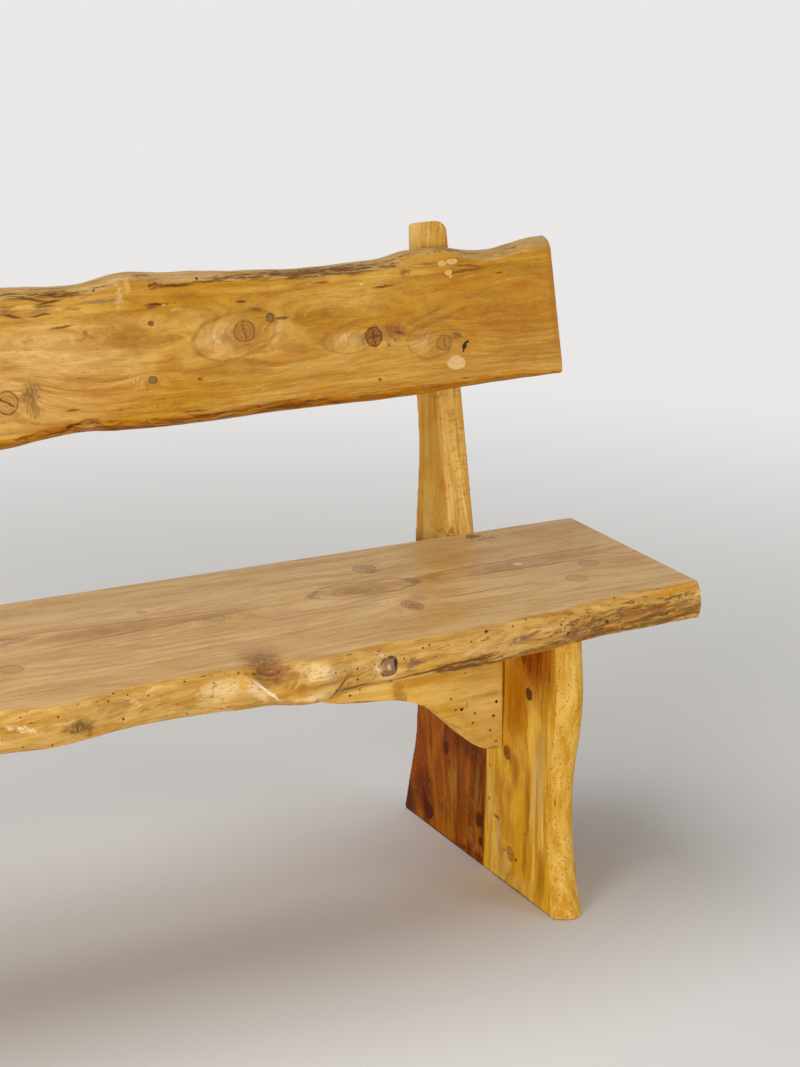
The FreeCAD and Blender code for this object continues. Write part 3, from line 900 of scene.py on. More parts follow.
def paint_knots(b, colour, relief, knots, mottle):
    """Paints the knots' wood, rings, outlines and checks."""
    for parts, kind in knots:
        tone, outline, share, rim_share, check_share = KNOTS[kind]
        colour = b.blend(b.calc("MULTIPLY", parts["Core"], share), colour, tone)
        colour = b.shade(parts["Rings"], colour, (0.82, 0.78, 0.74))
        rough_rim = b.calc("MULTIPLY_ADD", mottle, 0.8, 0.2)
        rim = b.calc("MULTIPLY", b.calc("MULTIPLY", parts["Rim"], rough_rim), rim_share)
        colour = b.blend(rim, colour, outline)
        relief = b.calc("MULTIPLY_ADD", rim, -0.4, relief)
        if check_share:
            check = b.calc("MULTIPLY", parts["Check"], check_share)
            colour = b.blend(check, colour, scaled(outline, 0.6))
            relief = b.calc("MULTIPLY_ADD", check, -0.5, relief)
    return colour, relief


def wood(name, axes, look):
    """Varnished solid wood with the marks that a piece shows. Places in look are in millimetres."""
    mat = bpy.data.materials.new(name)
    mat.use_nodes = True
    b = Nodes(mat.node_tree)
    place, face = own_place(b, axes)
    bend = (0.0, look["bend"], look["bend"])
    drift = b.vector("MULTIPLY", b.wander(place, (0.45, 0.09, 0.09), 2.0, 0.5), bend)
    nearly = b.shifted(face, b.wander(place, *FRAY), NEAR)
    knots, lift = knot_parts(b, nearly, look)
    age, flow = growth(b, place, face, drift, lift, look)
    places = mark_places(b, face, flow)
    late = late_wood(b, age, flow, look)
    colour, patch, textures = plain_wood(b, place, flow, places, late, look)
    hair = textures["hair"]
    relief = b.calc("MULTIPLY_ADD", hair, 0.05, b.calc("MULTIPLY", late, -0.12))
    if "live" in look:
        colour, relief = live_nodes(b, colour, relief, place, face, hair, look)
    if "saw" in look:
        colour, relief = saw_nodes(b, colour, relief, face)
    colour, relief = paint_knots(b, colour, relief, knots, textures["mottle"])
    colour, relief = mark_nodes(b, colour, relief, look["spots"], places, textures)

    # Painted shade in the hollows: the colour darkens where the relief sinks deep; it also lets Cycles work
    # colour and relief out together, within its small stack
    colour = b.shade(b.step(relief, -0.5, -2.0), colour, (0.75, 0.60, 0.45))
    shader = mat.node_tree.nodes["Principled BSDF"]
    b.put(shader.inputs["Base Color"], colour)
    b.put(shader.inputs["Roughness"], b.calc("MULTIPLY_ADD", patch, 0.20, look["rough"]))
    shader.inputs["Specular IOR Level"].default_value = look["shine"]
    shader.inputs["Coat Weight"].default_value = look["coat"]
    shader.inputs["Coat Roughness"].default_value = 0.22
    bump = b.make("Bump", {"Height": relief, "Distance": 0.001, "Strength": 1.0})
    b.put(shader.inputs["Normal"], bump.outputs[0])
    return mat


def plain(name, colour, other, rough, size, metal=0.0):
    """Simple finish with a fine grain, for plugs, filler, pegs and screws."""
    mat = bpy.data.materials.new(name)
    mat.use_nodes = True
    b = Nodes(mat.node_tree)
    where = b.make("TexCoord", {}).outputs["Object"]
    shade = b.step(b.grain(where, size, 3.0, 0.6), 0.35, 0.65)
    shader = mat.node_tree.nodes["Principled BSDF"]
    b.put(shader.inputs["Base Color"], b.blend(shade, colour, other))
    b.put(shader.inputs["Roughness"], b.calc("MULTIPLY_ADD", shade, 0.12, rough))
    shader.inputs["Metallic"].default_value = metal
    bump = b.make("Bump", {"Height": shade, "Distance": 0.00005, "Strength": 1.0})
    b.put(shader.inputs["Normal"], bump.outputs[0])
    return mat


# Tints
AMBER = (0.48, 0.195, 0.004)
OLIVE = (0.34, 0.18, 0.02)
RUST = (0.3, 0.09, 0.002)
UMBER = (0.17, 0.058, 0.004)
PLUM = (0.17, 0.07, 0.03)
SOOT = (0.04, 0.013, 0.003)
ASH = (0.38, 0.25, 0.11)
CREAM = (0.82, 0.57, 0.27)
STRAW = (0.68, 0.42, 0.13)
BAND = (0.36, 0.18, 0.042)
LINE = (0.22, 0.1, 0.022)

# Marks: place along and across, half length, half width, tint, share, kind and, for some, a slope.
# Halos lie under the wood's streaks, spots over them.
SEAT_HALOS = [
    (20, -29, 130, 25, BAND, 0.75, "Smooth"), (160, -34, 80, 12, BAND, 0.7, "Smooth"),
    (365, -25, 72, 25, BAND, 0.8, "Smooth"), (610, -25, 190, 22, (0.41, 0.225, 0.085), 0.75, "Smooth"),
    # The second halo here, a dull tan over the right end of the top, is painted shade.
    (-330, -10, 260, 24, BAND, 0.75, "Smooth"), (610, 10, 230, 150, (0.46, 0.275, 0.1), 0.35, "Smooth"),
    # Painted reflection: an orange glow on the top beside the right post stands for the post mirrored in the
    # varnish.
    (520, 50, 60, 60, (0.5, 0.26, 0.06), 0.4, "Smooth"),
    (405, -165, 50, 26, (0.54, 0.3, 0.075), 0.55, "Soft"),
    (155, -178, 34, 38, (0.42, 0.225, 0.08), 0.55, "Soft"),
]
SEAT_SPOTS = [
    (78, -12, 180, 2.4, LINE, 0.7, "Smooth", -0.092), (70, -46, 180, 2.4, LINE, 0.65, "Smooth", 0.08),
    (365, -25, 72, 27, LINE, 0.75, "Ring"), (600, -6, 160, 2.6, LINE, 0.7, "Smooth", 0.02),
    (600, -43, 160, 2.6, LINE, 0.75, "Smooth", -0.035), (436, -25, 13, 15, PLUM, 0.6, "Soft"),
    (472, -22, 42, 14, (0.38, 0.165, 0.022), 0.85, "Streaky"),
    (488, -102, 55, 2.6, LINE, 0.75, "Smooth", 0.05), (560, -106, 50, 3, LINE, 0.5, "Streaky", -0.06),
    (290, -84, 110, 2.4, LINE, 0.5, "Smooth"), (60, -75, 110, 2.0, LINE, 0.35, "Smooth", 0.03),
    (250, 62, 160, 2.0, LINE, 0.35, "Streaky"), (600, 46, 90, 3, LINE, 0.45, "Streaky"),
    # The cream wrinkles in the second spot here, beside the knot, are painted glints of light on the raised
    # grain.
    (412, -88, 14, 16, (0.42, 0.19, 0.045), 0.7, "Soft"), (372, -88, 20, 14, CREAM, 0.4, "Wrinkled"),
    (392, -112, 13, 22, LINE, 0.85, "Wrinkled"), (410, 42, 22, 26, LINE, 0.6, "Wrinkled"),
    (300, -50, 60, 20, (0.66, 0.405, 0.16), 0.45, "Smooth"), (-330, -10, 260, 25, LINE, 0.65, "Ring"),
    (-600, 40, 200, 3, LINE, 0.5, "Smooth"), (0, 60, 110, 26, (0.64, 0.4, 0.17), 0.45, "Soft"),
    (150, -205, 30, 34, (0.25, 0.12, 0.04), 0.85, "Soft"), (150, -215, 22, 22, PLUM, 0.6, "Wrinkled"),
    # The first spot here, a small cream dot, is a painted highlight.
    (584, -25, 8, 5, CREAM, 0.8, "Soft"), (592, 80, 5, 22, CREAM, 0.5, "Streaky"),
    (600, 95, 26, 20, LINE, 0.7, "Wrinkled"), (596, 113, 14, 6, (0.42, 0.2, 0.015), 0.7, "Soft"),
    (250, -216, 60, 5, CREAM, 0.45, "Streaky"),
]
SEAT_EDGE_SPOTS = [
    (640, 398, 170, 26, (0.42, 0.2, 0.02), 0.45, "Soft"), (92, 411, 38, 15, CREAM, 0.65, "Soft"),
    # Painted highlight: a pale streak slanting along the ridge of the live edge.
    (128, 404, 18, 9, (0.78, 0.56, 0.34), 0.65, "Soft", -0.85),
    (156, 419, 31, 15, (0.26, 0.105, 0.028), 0.9, "Soft"), (148, 420, 24, 12, UMBER, 0.8, "Streaky"),
    (164, 422, 10, 5, (0.34, 0.075, 0.022), 0.75, "Soft"), (138, 424, 12, 6, UMBER, 0.8, "Wrinkled"),
    (166, 400, 28, 10, (0.5, 0.225, 0.02), 0.75, "Soft"), (172, 404, 20, 6, UMBER, 0.45, "Streaky"),
    (123, 424, 9, 5, (0.44, 0.17, 0.003), 0.9, "Smooth", -0.6),
    # Painted highlight: a near-white streak along the same ridge.
    (142, 403, 19, 3.0, (0.88, 0.7, 0.5), 0.8, "Smooth", -0.85),
    (114, 414, 6, 12, (0.6, 0.32, 0.04), 0.75, "Smooth"),
    (62, 413, 5, 9, (0.36, 0.18, 0.03), 0.6, "Streaky"), (204, 417, 24, 11, CREAM, 0.85, "Soft"),
    (194, 389, 26, 5, CREAM, 0.85, "Soft"), (222, 411, 12, 9, ASH, 0.6, "Wrinkled"),
    (242, 410, 20, 13, (0.42, 0.2, 0.02), 0.6, "Streaky"),
    (231, 394, 22, 3.5, (0.23, 0.085, 0.008), 0.9, "Smooth", 0.75),
    (255, 388, 34, 2.6, UMBER, 0.85, "Smooth"), (360, 391, 80, 2.6, UMBER, 0.9, "Smooth", 0.1),
    (284, 402, 10, 14, CREAM, 0.9, "Wrinkled"), (288, 420, 14, 5, (0.66, 0.44, 0.26), 0.8, "Soft"),
    (298, 391, 12, 4, (0.8, 0.58, 0.22), 0.7, "Soft"), (299, 404, 8, 8, PLUM, 0.7, "Ring"),
    (300, 404, 3.2, 3.6, (0.6, 0.4, 0.17), 0.85, "Sharp"),
    (309.5, 406, 2.0, 7.5, (0.03, 0.008, 0.004), 0.9, "Hole"),
    (306, 415, 6, 2.4, SOOT, 0.9, "Smooth", -0.4), (329, 404, 10, 8, (0.24, 0.115, 0.045), 0.9, "Soft"),
    (336, 402, 14, 5, PLUM, 0.8, "Streaky", 0.25), (284, 396, 5, 4, PLUM, 0.85, "Wrinkled"),
    (290, 424, 4, 3, PLUM, 0.8, "Soft"), (-86, 401, 26, 11, (0.26, 0.13, 0.028), 0.7, "Soft"),
    (-88, 402, 24, 9, (0.13, 0.06, 0.012), 0.8, "Wrinkled"), (-72, 394, 4, 9, RUST, 0.8, "Smooth"),
    (-150, 411, 22, 4, CREAM, 0.85, "Soft", -0.3), (-120, 384, 40, 3, RUST, 0.6, "Streaky"),
    (10, 424, 14, 3, (0.74, 0.46, 0.18), 0.8, "Smooth", 0.15),
    (-20, 414, 60, 3, OLIVE, 0.6, "Streaky", 0.08),
    (-10, 403, 50, 2.4, (0.3, 0.13, 0.01), 0.7, "Grooved", 0.16),
    (20, 396, 50, 2.2, UMBER, 0.6, "Grooved", 0.06), (80, 392, 60, 3, OLIVE, 0.6, "Streaky", -0.12),
    (-45, 392, 34, 6, (0.46, 0.195, 0.008), 0.7, "Soft"),
    (400, 408, 46, 5, (0.74, 0.5, 0.2), 0.5, "Streaky", 0.05),
    (360, 398, 50, 5, (0.52, 0.25, 0.015), 0.8, "Soft", 0.08),
    (420, 396, 60, 3, UMBER, 0.85, "Grooved", 0.1),
    # The first mark here, a dark line along the seat's lower edge, is painted shadow.
    (450, 386, 140, 3.6, (0.14, 0.046, 0.006), 0.85, "Soft", 0.02), (478, 407, 22, 6, PLUM, 0.85, "Soft"),
    (500, 412, 34, 3, UMBER, 0.8, "Grooved", 0.15), (468, 398, 22, 3, CREAM, 0.6, "Streaky"),
    (440, 420, 30, 3, OLIVE, 0.7, "Streaky", 0.1), (548, 402, 2.3, 2.2, (0.05, 0.01, 0.004), 0.95, "Hole"),
    (560, 400, 18, 7, (0.27, 0.1, 0.04), 0.8, "Soft"), (592, 398, 22, 6, (0.18, 0.06, 0.016), 0.85, "Soft"),
    (610, 404, 3.4, 2.0, SOOT, 0.9, "Hole"), (626, 408, 40, 3, UMBER, 0.85, "Grooved", 0.18),
    (700, 412, 40, 3.5, UMBER, 0.8, "Grooved", 0.15), (690, 399, 60, 3.5, UMBER, 0.85, "Grooved", 0.06),
    # Painted shadow: a dark line along the seat's lower edge.
    (640, 389, 160, 4.5, (0.19, 0.062, 0.006), 0.7, "Soft", 0.02),
    (728, 404, 20, 12, (0.32, 0.18, 0.06), 0.55, "Wrinkled"),
    (705, 424, 40, 6, (0.52, 0.215, 0.004), 0.9, "Soft", 0.05),
    (576, 396, 12, 3, (0.7, 0.44, 0.2), 0.6, "Soft"), (470, 424, 2.2, 1.6, UMBER, 0.8, "Hole"),
    (431, 426, 2.4, 1.8, SOOT, 0.9, "Hole"), (540, 409, 40, 2.4, UMBER, 0.7, "Grooved", 0.12),
    (600, 396, 60, 4, (0.3, 0.09, 0.008), 0.8, "Streaky", 0.06),
    (660, 405, 60, 4, (0.34, 0.12, 0.01), 0.7, "Streaky", 0.1),
    (-420, 404, 26, 12, (0.26, 0.15, 0.08), 0.7, "Streaky"),
    (-600, 396, 90, 8, (0.22, 0.105, 0.035), 0.7, "Streaky"),
    (-680, 402, 50, 4, UMBER, 0.8, "Grooved", -0.1), (-260, 408, 60, 4, OLIVE, 0.6, "Streaky"),
]
# The seat's tones are paler and bluer than its wood: a painted sheen, the pale haze that its satin top
# reflects at a low view.
SEAT = {
    "pale": (0.65, 0.425, 0.188), "mid": (0.56, 0.35, 0.132), "deep": (0.43, 0.238, 0.07), "bend": 0.03,
    "heart": (-30, 370), "ring": 4.2, "ring_depth": 0.4, "broad": (0.4, 0.016, 0.03), "streak": 0.5,
    "fibre": 0.35, "patch": 0.4, "fleck": 0.5, "rough": 0.36, "shine": 0.15, "coat": 0.05,
    "knots": [
        ("top", 160, -45, 13, 13, "faint", 12, 20), ("top", -115, -105, 14, 13, "faint", 12, 70),
        ("top", 355, -29, 10, 11, "faint", 12, 100), ("top", 392, -110, 12, 19, "faint", 14, 10),
        ("top", 403, 45, 14, 17, "faint", 14, 60), ("top", 667, -64, 13, 13, "faint", 10, 30),
        ("top", 622, -110, 13, 14, "faint", 12, 90), ("top", 592, 108, 9, 8, "brown", 12, 40),
        ("top", 91, 16, 6, 6, "faint", 6, 0), ("top", -300, -60, 13, 14, "faint", 12, 50),
        ("top", -470, 50, 11, 12, "brown", 12, 15), ("top", -610, -90, 14, 13, "faint", 12, 80),
        ("edge", 299, 404, 12, 12, "bark", 10, 0), ("edge", -420, 404, 11, 11, "bark", 10, 0),
    ],
    "halos": {"top": SEAT_HALOS},
    "spots": {"top": SEAT_SPOTS, "edge": SEAT_EDGE_SPOTS},
    "live": {
        "live": {
            "gold": (0.63, 0.37, 0.092), "brown": (0.44, 0.215, 0.024), "share": 0.94, "grooves": -0.25,
            "pale": (0.72, 0.47, 0.165), "pale_share": 0.55, "grain": (0.15, 0.01, 0.01), "slant": 0.06,
            "smudge": (0.28, 0.115, 0.012), "cut": (0.13, 0.042, 0.003), "hole_gap": 8, "holes": 0.26,
            "dark": [
                ("edge", 640, 398, 240, 30, 1.05), ("edge", 400, 390, 130, 12, 0.9),
                ("edge", -500, 398, 240, 22, 1.0),
            ],
        },
    },
}
BACK_HALOS = [
    (660, 290, 150, 90, (0.51, 0.24, 0.006), 0.6, "Smooth"),
    (0, 270, 190, 80, (0.72, 0.46, 0.165), 0.8, "Soft"),
    (268, 293, 50, 26, (0.66, 0.42, 0.15), 0.6, "Smooth", 0.08),
    (350, 258, 60, 10, (0.46, 0.19, 0.008), 0.65, "Smooth"),
    (278, 294, 58, 29, (0.34, 0.165, 0.025), 0.6, "Ring", 0.08),
    (290, 320, 66, 12, (0.4, 0.205, 0.03), 0.5, "Streaky"),
    (428, 271, 26, 15, (0.64, 0.405, 0.14), 0.55, "Smooth"),
    (430, 272, 34, 18, (0.34, 0.165, 0.025), 0.5, "Ring"),
    (535, 258, 17, 20, (0.64, 0.405, 0.14), 0.55, "Smooth"),
    (545, 260, 30, 24, (0.34, 0.165, 0.025), 0.5, "Ring"),
    (560, 284, 60, 4, (0.36, 0.17, 0.018), 0.8, "Smooth", 0.28),
    (545, 292, 44, 3, (0.36, 0.17, 0.018), 0.7, "Smooth", 0.35),
    (-190, 295, 50, 24, (0.36, 0.185, 0.03), 0.6, "Ring"),
    (80, 240, 120, 30, (0.6, 0.31, 0.055), 0.45, "Soft"),
    (20, 285, 55, 18, (0.74, 0.49, 0.19), 0.45, "Soft"),
    (185, 266, 24, 14, (0.49, 0.235, 0.02), 0.65, "Soft"),
]
BACK_SPOTS = [
    (264, 294, 13, 13, ASH, 0.85, "Wrinkled"), (251, 294, 4, 9, CREAM, 0.8, "Wrinkled"),
    (258, 303, 4, 5, STRAW, 0.6, "Wrinkled"), (232, 288, 14, 8, STRAW, 0.6, "Soft"),
    (308, 298, 5, 7, (0.36, 0.185, 0.03), 0.7, "Soft"),
    (320, 284, 26, 3, (0.38, 0.19, 0.03), 0.8, "Smooth", 0.3),
    (336, 295, 18, 8, (0.66, 0.39, 0.17), 0.5, "Streaky"),
    (343, 308, 12, 2.4, (0.2, 0.095, 0.02), 0.9, "Crack"), (312, 322, 16, 2.4, UMBER, 0.7, "Grooved", -0.2),
    (447, 270, 9, 11, ASH, 0.8, "Wrinkled"), (452, 268, 3, 9, (0.3, 0.16, 0.05), 0.7, "Smooth"),
    (424, 275, 4, 6, CREAM, 0.65, "Wrinkled"), (408, 268, 5, 12, (0.36, 0.18, 0.028), 0.55, "Smooth"),
    (495, 277, 20, 13, (0.26, 0.09, 0.01), 0.85, "Soft"),
    (494, 284, 14, 4, (0.12, 0.03, 0.004), 0.85, "Streaky", -0.5),
    (497, 264, 16, 4, (0.14, 0.04, 0.005), 0.8, "Streaky", 0.4),
    (502, 274, 14, 3, (0.12, 0.03, 0.004), 0.8, "Streaky"), (547, 256, 9, 8, ASH, 0.85, "Wrinkled"),
    (541, 262, 9, 1.2, (0.66, 0.43, 0.17), 0.55, "Smooth", 1.2),
    (588, 262, 11, 6, (0.2, 0.075, 0.012), 0.9, "Soft"),
    (596, 247.5, 3.4, 4.6, (0.025, 0.008, 0.002), 1.0, "Hole", 0.5),
    (600, 251.5, 2.2, 1.8, SOOT, 1.0, "Hole"), (594, 241, 1.5, 2.6, SOOT, 0.9, "Hole"),
    (610, 262, 14, 10, (0.4, 0.165, 0.006), 0.7, "Soft"),
    (4, 246, 16, 24, (0.34, 0.185, 0.05), 0.6, "Soft"),
    (6, 250, 13, 20, (0.2, 0.105, 0.03), 0.7, "Wrinkled"),
    (8, 225, 12, 14, (0.28, 0.15, 0.04), 0.6, "Wrinkled"),
    (179, 341, 19, 2.2, (0.12, 0.04, 0.006), 0.95, "Crack", -0.03),
    (187, 340, 4.5, 1.8, (0.62, 0.43, 0.25), 0.75, "Smooth"), (172, 338, 8, 1.6, PLUM, 0.8, "Crack"),
    (203, 333, 5, 3, STRAW, 0.6, "Soft"), (487, 334, 18, 1.8, (0.16, 0.055, 0.006), 0.9, "Crack", 0.04),
    (508, 336, 7, 2, OLIVE, 0.8, "Smooth"), (290, 334, 8, 1.8, (0.15, 0.055, 0.008), 0.95, "Crack", -0.08),
    (303, 340, 15, 3.2, (0.34, 0.15, 0.018), 0.85, "Streaky"),
    (690, 275, 60, 9, (0.44, 0.16, 0.002), 0.9, "Streaky"),
    (640, 283, 70, 5, (0.36, 0.13, 0.002), 0.9, "Streaky"),
    (645, 270, 30, 4, (0.36, 0.135, 0.002), 0.8, "Smooth"),
    (620, 273, 60, 3, (0.34, 0.14, 0.004), 0.7, "Streaky"),
    (688, 318, 26, 7, (0.42, 0.14, 0.002), 0.85, "Streaky"),
    (690, 305, 40, 5, (0.5, 0.215, 0.006), 0.6, "Streaky"), (600, 310, 90, 3, OLIVE, 0.55, "Streaky"),
    (640, 222, 90, 4, (0.42, 0.215, 0.04), 0.5, "Streaky"),
    (545, 371, 50, 4, (0.33, 0.13, 0.004), 0.85, "Streaky", 0.05),
    (590, 372, 30, 3, RUST, 0.85, "Smooth", -0.2), (560, 365, 56, 6, (0.57, 0.27, 0.01), 0.8, "Soft"),
    (520, 350, 9, 5, (0.22, 0.11, 0.016), 0.9, "Soft"), (503, 358, 8, 3, UMBER, 0.8, "Streaky"),
    (545, 356, 30, 2.4, (0.26, 0.13, 0.02), 0.8, "Grooved"),
    (605, 343, 34, 1.8, (0.22, 0.09, 0.01), 0.85, "Crack", 0.05),
    (612, 349, 26, 1.8, (0.26, 0.105, 0.012), 0.8, "Crack", -0.12), (656, 336, 6, 1.5, UMBER, 0.8, "Crack"),
    (350, 225, 170, 4, (0.44, 0.2, 0.008), 0.6, "Streaky"),
    (380, 214, 40, 3, (0.5, 0.2, 0.004), 0.7, "Smooth"),
    (330, 250, 60, 3, (0.4, 0.165, 0.006), 0.7, "Streaky"),
    (310, 270, 34, 4, (0.4, 0.18, 0.012), 0.7, "Soft"),
    (120, 311, 90, 2.4, (0.36, 0.175, 0.02), 0.75, "Streaky", 0.02),
    (54, 326, 18, 1.8, (0.26, 0.125, 0.02), 0.9, "Crack", 0.1),
    (25, 314, 60, 2, (0.36, 0.195, 0.05), 0.6, "Streaky", 0.06),
    (12, 304, 16, 2, (0.34, 0.18, 0.045), 0.7, "Streaky"),
    (-10, 352, 16, 9, (0.27, 0.16, 0.07), 0.8, "Grooved"),
    (-6, 345, 14, 2.0, (0.15, 0.07, 0.014), 0.85, "Crack", -0.3),
    (28, 343, 18, 1.7, (0.18, 0.085, 0.014), 0.85, "Crack", 0.06),
    (22, 362, 22, 1.8, (0.16, 0.075, 0.012), 0.85, "Crack", -0.2),
    (40, 357, 22, 2.0, (0.15, 0.07, 0.01), 0.9, "Crack", 0.1),
    (35, 353, 16, 1.6, (0.2, 0.105, 0.03), 0.85, "Crack"),
    (20, 349, 30, 5, (0.33, 0.2, 0.085), 0.75, "Grooved"), (5, 355, 5, 2.2, STRAW, 0.6, "Soft"),
    (52, 348, 6, 1.8, STRAW, 0.7, "Smooth", -0.3), (85, 343, 5, 1.6, STRAW, 0.6, "Soft"),
    (105, 351, 32, 4, (0.3, 0.21, 0.095), 0.8, "Grooved"), (75, 346, 24, 3, OLIVE, 0.7, "Streaky"),
    (84, 360, 14, 2.2, (0.3, 0.15, 0.02), 0.85, "Streaky"),
    (100, 364, 34, 5, (0.38, 0.195, 0.025), 0.6, "Streaky"),
    (130, 356, 6, 22, (0.72, 0.48, 0.19), 0.8, "Wrinkled"),
    (142, 366, 5, 12, (0.66, 0.4, 0.08), 0.7, "Smooth"),
    (180, 364, 11, 5, (0.24, 0.075, 0.006), 0.9, "Soft"),
    (176, 365, 4, 4, (0.1, 0.022, 0.002), 0.9, "Wrinkled"),
    (205, 362, 28, 2.4, (0.16, 0.06, 0.006), 0.95, "Crack", -0.05),
    (245, 363, 34, 2.4, (0.2, 0.085, 0.012), 0.8, "Grooved"),
    (165, 378, 16, 3, (0.22, 0.11, 0.04), 0.85, "Grooved"),
    (320, 356, 70, 4, (0.52, 0.25, 0.006), 0.85, "Soft", -0.05),
    (300, 366, 50, 2.0, (0.24, 0.115, 0.04), 0.65, "Grooved"),
    (350, 362, 44, 2.0, (0.22, 0.1, 0.034), 0.75, "Grooved", -0.04),
    (372, 359, 10, 3, (0.22, 0.075, 0.02), 0.8, "Wrinkled"),
    (402, 347, 12, 1.6, (0.24, 0.1, 0.012), 0.9, "Crack"),
    (438, 354, 24, 4, (0.19, 0.105, 0.024), 0.9, "Grooved"),
    (440, 361, 30, 2.2, (0.2, 0.078, 0.016), 0.8, "Grooved"),
    (390, 363, 16, 2.4, (0.26, 0.11, 0.04), 0.85, "Soft"),
    (400, 352, 50, 4, (0.42, 0.235, 0.04), 0.6, "Streaky"), (470, 217, 3, 1.8, UMBER, 0.9, "Crack"),
    (225, 244, 3.5, 1.8, UMBER, 0.9, "Crack"), (118, 219, 5, 2.2, UMBER, 0.85, "Wrinkled"),
    (162, 216, 5, 2.2, UMBER, 0.85, "Wrinkled"), (57, 225, 10, 1.8, (0.28, 0.12, 0.015), 0.9, "Crack"),
    (302, 222, 6, 1.4, OLIVE, 0.8, "Smooth"), (335, 213, 4, 1.6, OLIVE, 0.8, "Smooth"),
    (142, 254, 6, 10, STRAW, 0.7, "Wrinkled"), (152, 299, 3, 3, OLIVE, 0.8, "Soft"),
    (612, 335.5, 9, 1.2, STRAW, 0.6, "Smooth", 0.05), (683, 359, 4, 1.6, STRAW, 0.5, "Soft"),
    (697, 361, 5, 1.4, STRAW, 0.5, "Soft"), (456, 341, 4, 2.0, CREAM, 0.6, "Soft"),
    (456, 341, 6, 4, OLIVE, 0.6, "Ring"), (732, 300, 5, 100, (0.36, 0.15, 0.006), 0.6, "Smooth"),
    (20, 203, 34, 6, (0.45, 0.185, 0.004), 0.9, "Soft", 0.25),
    (150, 203, 70, 6, (0.52, 0.235, 0.004), 0.9, "Soft", -0.03),
    (180, 199, 110, 3.4, (0.34, 0.105, 0.001), 0.85, "Streaky", -0.02),
    (215, 206, 26, 1.8, (0.22, 0.08, 0.004), 0.9, "Smooth", -0.03),
    (310, 202, 60, 4, (0.38, 0.165, 0.004), 0.85, "Soft"),
    (340, 197, 40, 3, (0.15, 0.03, 0.002), 0.85, "Smooth"),
    (450, 197, 120, 3, (0.34, 0.125, 0.003), 0.8, "Streaky"),
    (80, 211, 14, 2.4, RUST, 0.85, "Smooth", -0.1),
    (73, 204, 15, 3.4, (0.66, 0.4, 0.11), 0.7, "Smooth", -0.05),
    (62, 208, 12, 1.8, UMBER, 0.75, "Crack", 0.3), (84, 207, 9, 1.6, UMBER, 0.6, "Crack", -0.3),
    (51, 206, 6, 1.8, SOOT, 0.9, "Crack", 0.35), (660, 201, 80, 3, (0.38, 0.15, 0.01), 0.7, "Streaky"),
    (-215, 298, 18, 14, ASH, 0.7, "Wrinkled"), (-320, 266, 22, 13, (0.24, 0.085, 0.01), 0.8, "Soft"),
    (-530, 288, 20, 16, ASH, 0.7, "Wrinkled"), (-420, 346, 90, 3, UMBER, 0.8, "Grooved", 0.03),
]
BACK = {
    "pale": (0.63, 0.37, 0.072), "mid": (0.53, 0.272, 0.015), "deep": (0.39, 0.165, 0.002), "bend": 0.025,
    "heart": (300, -60), "ring": 5.0, "ring_depth": 0.45, "broad": (0.3, 0.016, 0.03), "streak": 0.6,
    "fibre": 0.5, "patch": 0.42, "fleck": 0.6, "rough": 0.3, "shine": 0.09, "coat": 0.04,
    "knots": [
        ("front", 290, 297, 14, 13, "light", 16, 15), ("front", 327, 310, 5.5, 5.5, "grey", 5, 90),
        ("front", 467, 272, 12, 12, "brown", 14, 5), ("front", 567, 254, 11, 10, "light", 12, 0),
        ("front", 163, 250, 5.5, 4.5, "grey", 6, 90), ("front", -25, 243, 14, 14, "hoop", 18, 60),
        ("front", 168, 319, 4, 3, "brown", 3, 90), ("front", 83, 316, 3, 3, "light", 2, 0),
        ("front", -190, 300, 12, 12, "light", 16, 20), ("front", -345, 262, 9, 9, "brown", 12, 80),
        ("front", -505, 290, 13, 12, "light", 16, 40), ("front", -640, 250, 7, 7, "grey", 8, 0),
    ],
    "halos": {"front": BACK_HALOS},
    "spots": {"front": BACK_SPOTS},
    "live": {
        "crown": {
            "gold": (0.5, 0.345, 0.145), "brown": (0.39, 0.225, 0.06), "share": 0.85, "grooves": -0.3,
            "pale": (0.64, 0.43, 0.19), "pale_share": 0.6, "grain": (0.1, 0.009, 0.009), "slant": 0.0,
            "smudge": (0.25, 0.125, 0.025), "cut": (0.13, 0.055, 0.01), "hole_gap": 9, "holes": 0.1,
            "dark": [
                ("front", 20, 355, 120, 30, 1.1), ("front", 380, 364, 180, 16, 1.3),
                ("front", -350, 362, 240, 24, 0.8),
            ],
        },
        "keel": {
            "gold": (0.55, 0.255, 0.006), "brown": (0.38, 0.135, 0.002), "share": 0.95, "grooves": 0.0,
            "pale": (0.56, 0.285, 0.02), "pale_share": 0.4, "grain": (0.1, 0.008, 0.008), "slant": 0.0,
            "smudge": (0.22, 0.062, 0.001), "cut": (0.12, 0.028, 0.001), "hole_gap": 12, "holes": 0.05,
            "dark": [("front", 200, 198, 300, 16, 0.7)],
        },
    },
}
BOARD_HALOS = [
    # A deep red-brown zone under the seat: partly darker wood, partly painted shade from the seat above.
    (350, -105, 95, 75, (0.32, 0.072, 0.0005), 0.96, "Smooth"),
    (262, -60, 75, 40, (0.44, 0.16, 0.001), 0.9, "Smooth"), (168, -122, 75, 15, STRAW, 0.9, "Smooth"),
    (222, -128, 24, 14, (0.6, 0.36, 0.09), 0.8, "Smooth"),
    (128, -92, 60, 7, (0.52, 0.2, 0.001), 0.9, "Smooth"),
    (62, -88, 44, 8, (0.5, 0.2, 0.001), 0.85, "Smooth"),
    (45, -130, 48, 14, (0.46, 0.19, 0.002), 0.9, "Smooth"),
    (58, -20, 42, 12, (0.7, 0.46, 0.15), 0.85, "Smooth"),
    (12, -60, 14, 70, (0.68, 0.42, 0.09), 0.8, "Smooth"),
    (165, -62, 26, 14, (0.38, 0.15, 0.006), 0.7, "Soft"),
    (130, -15, 36, 12, (0.46, 0.19, 0.008), 0.6, "Soft"),
]
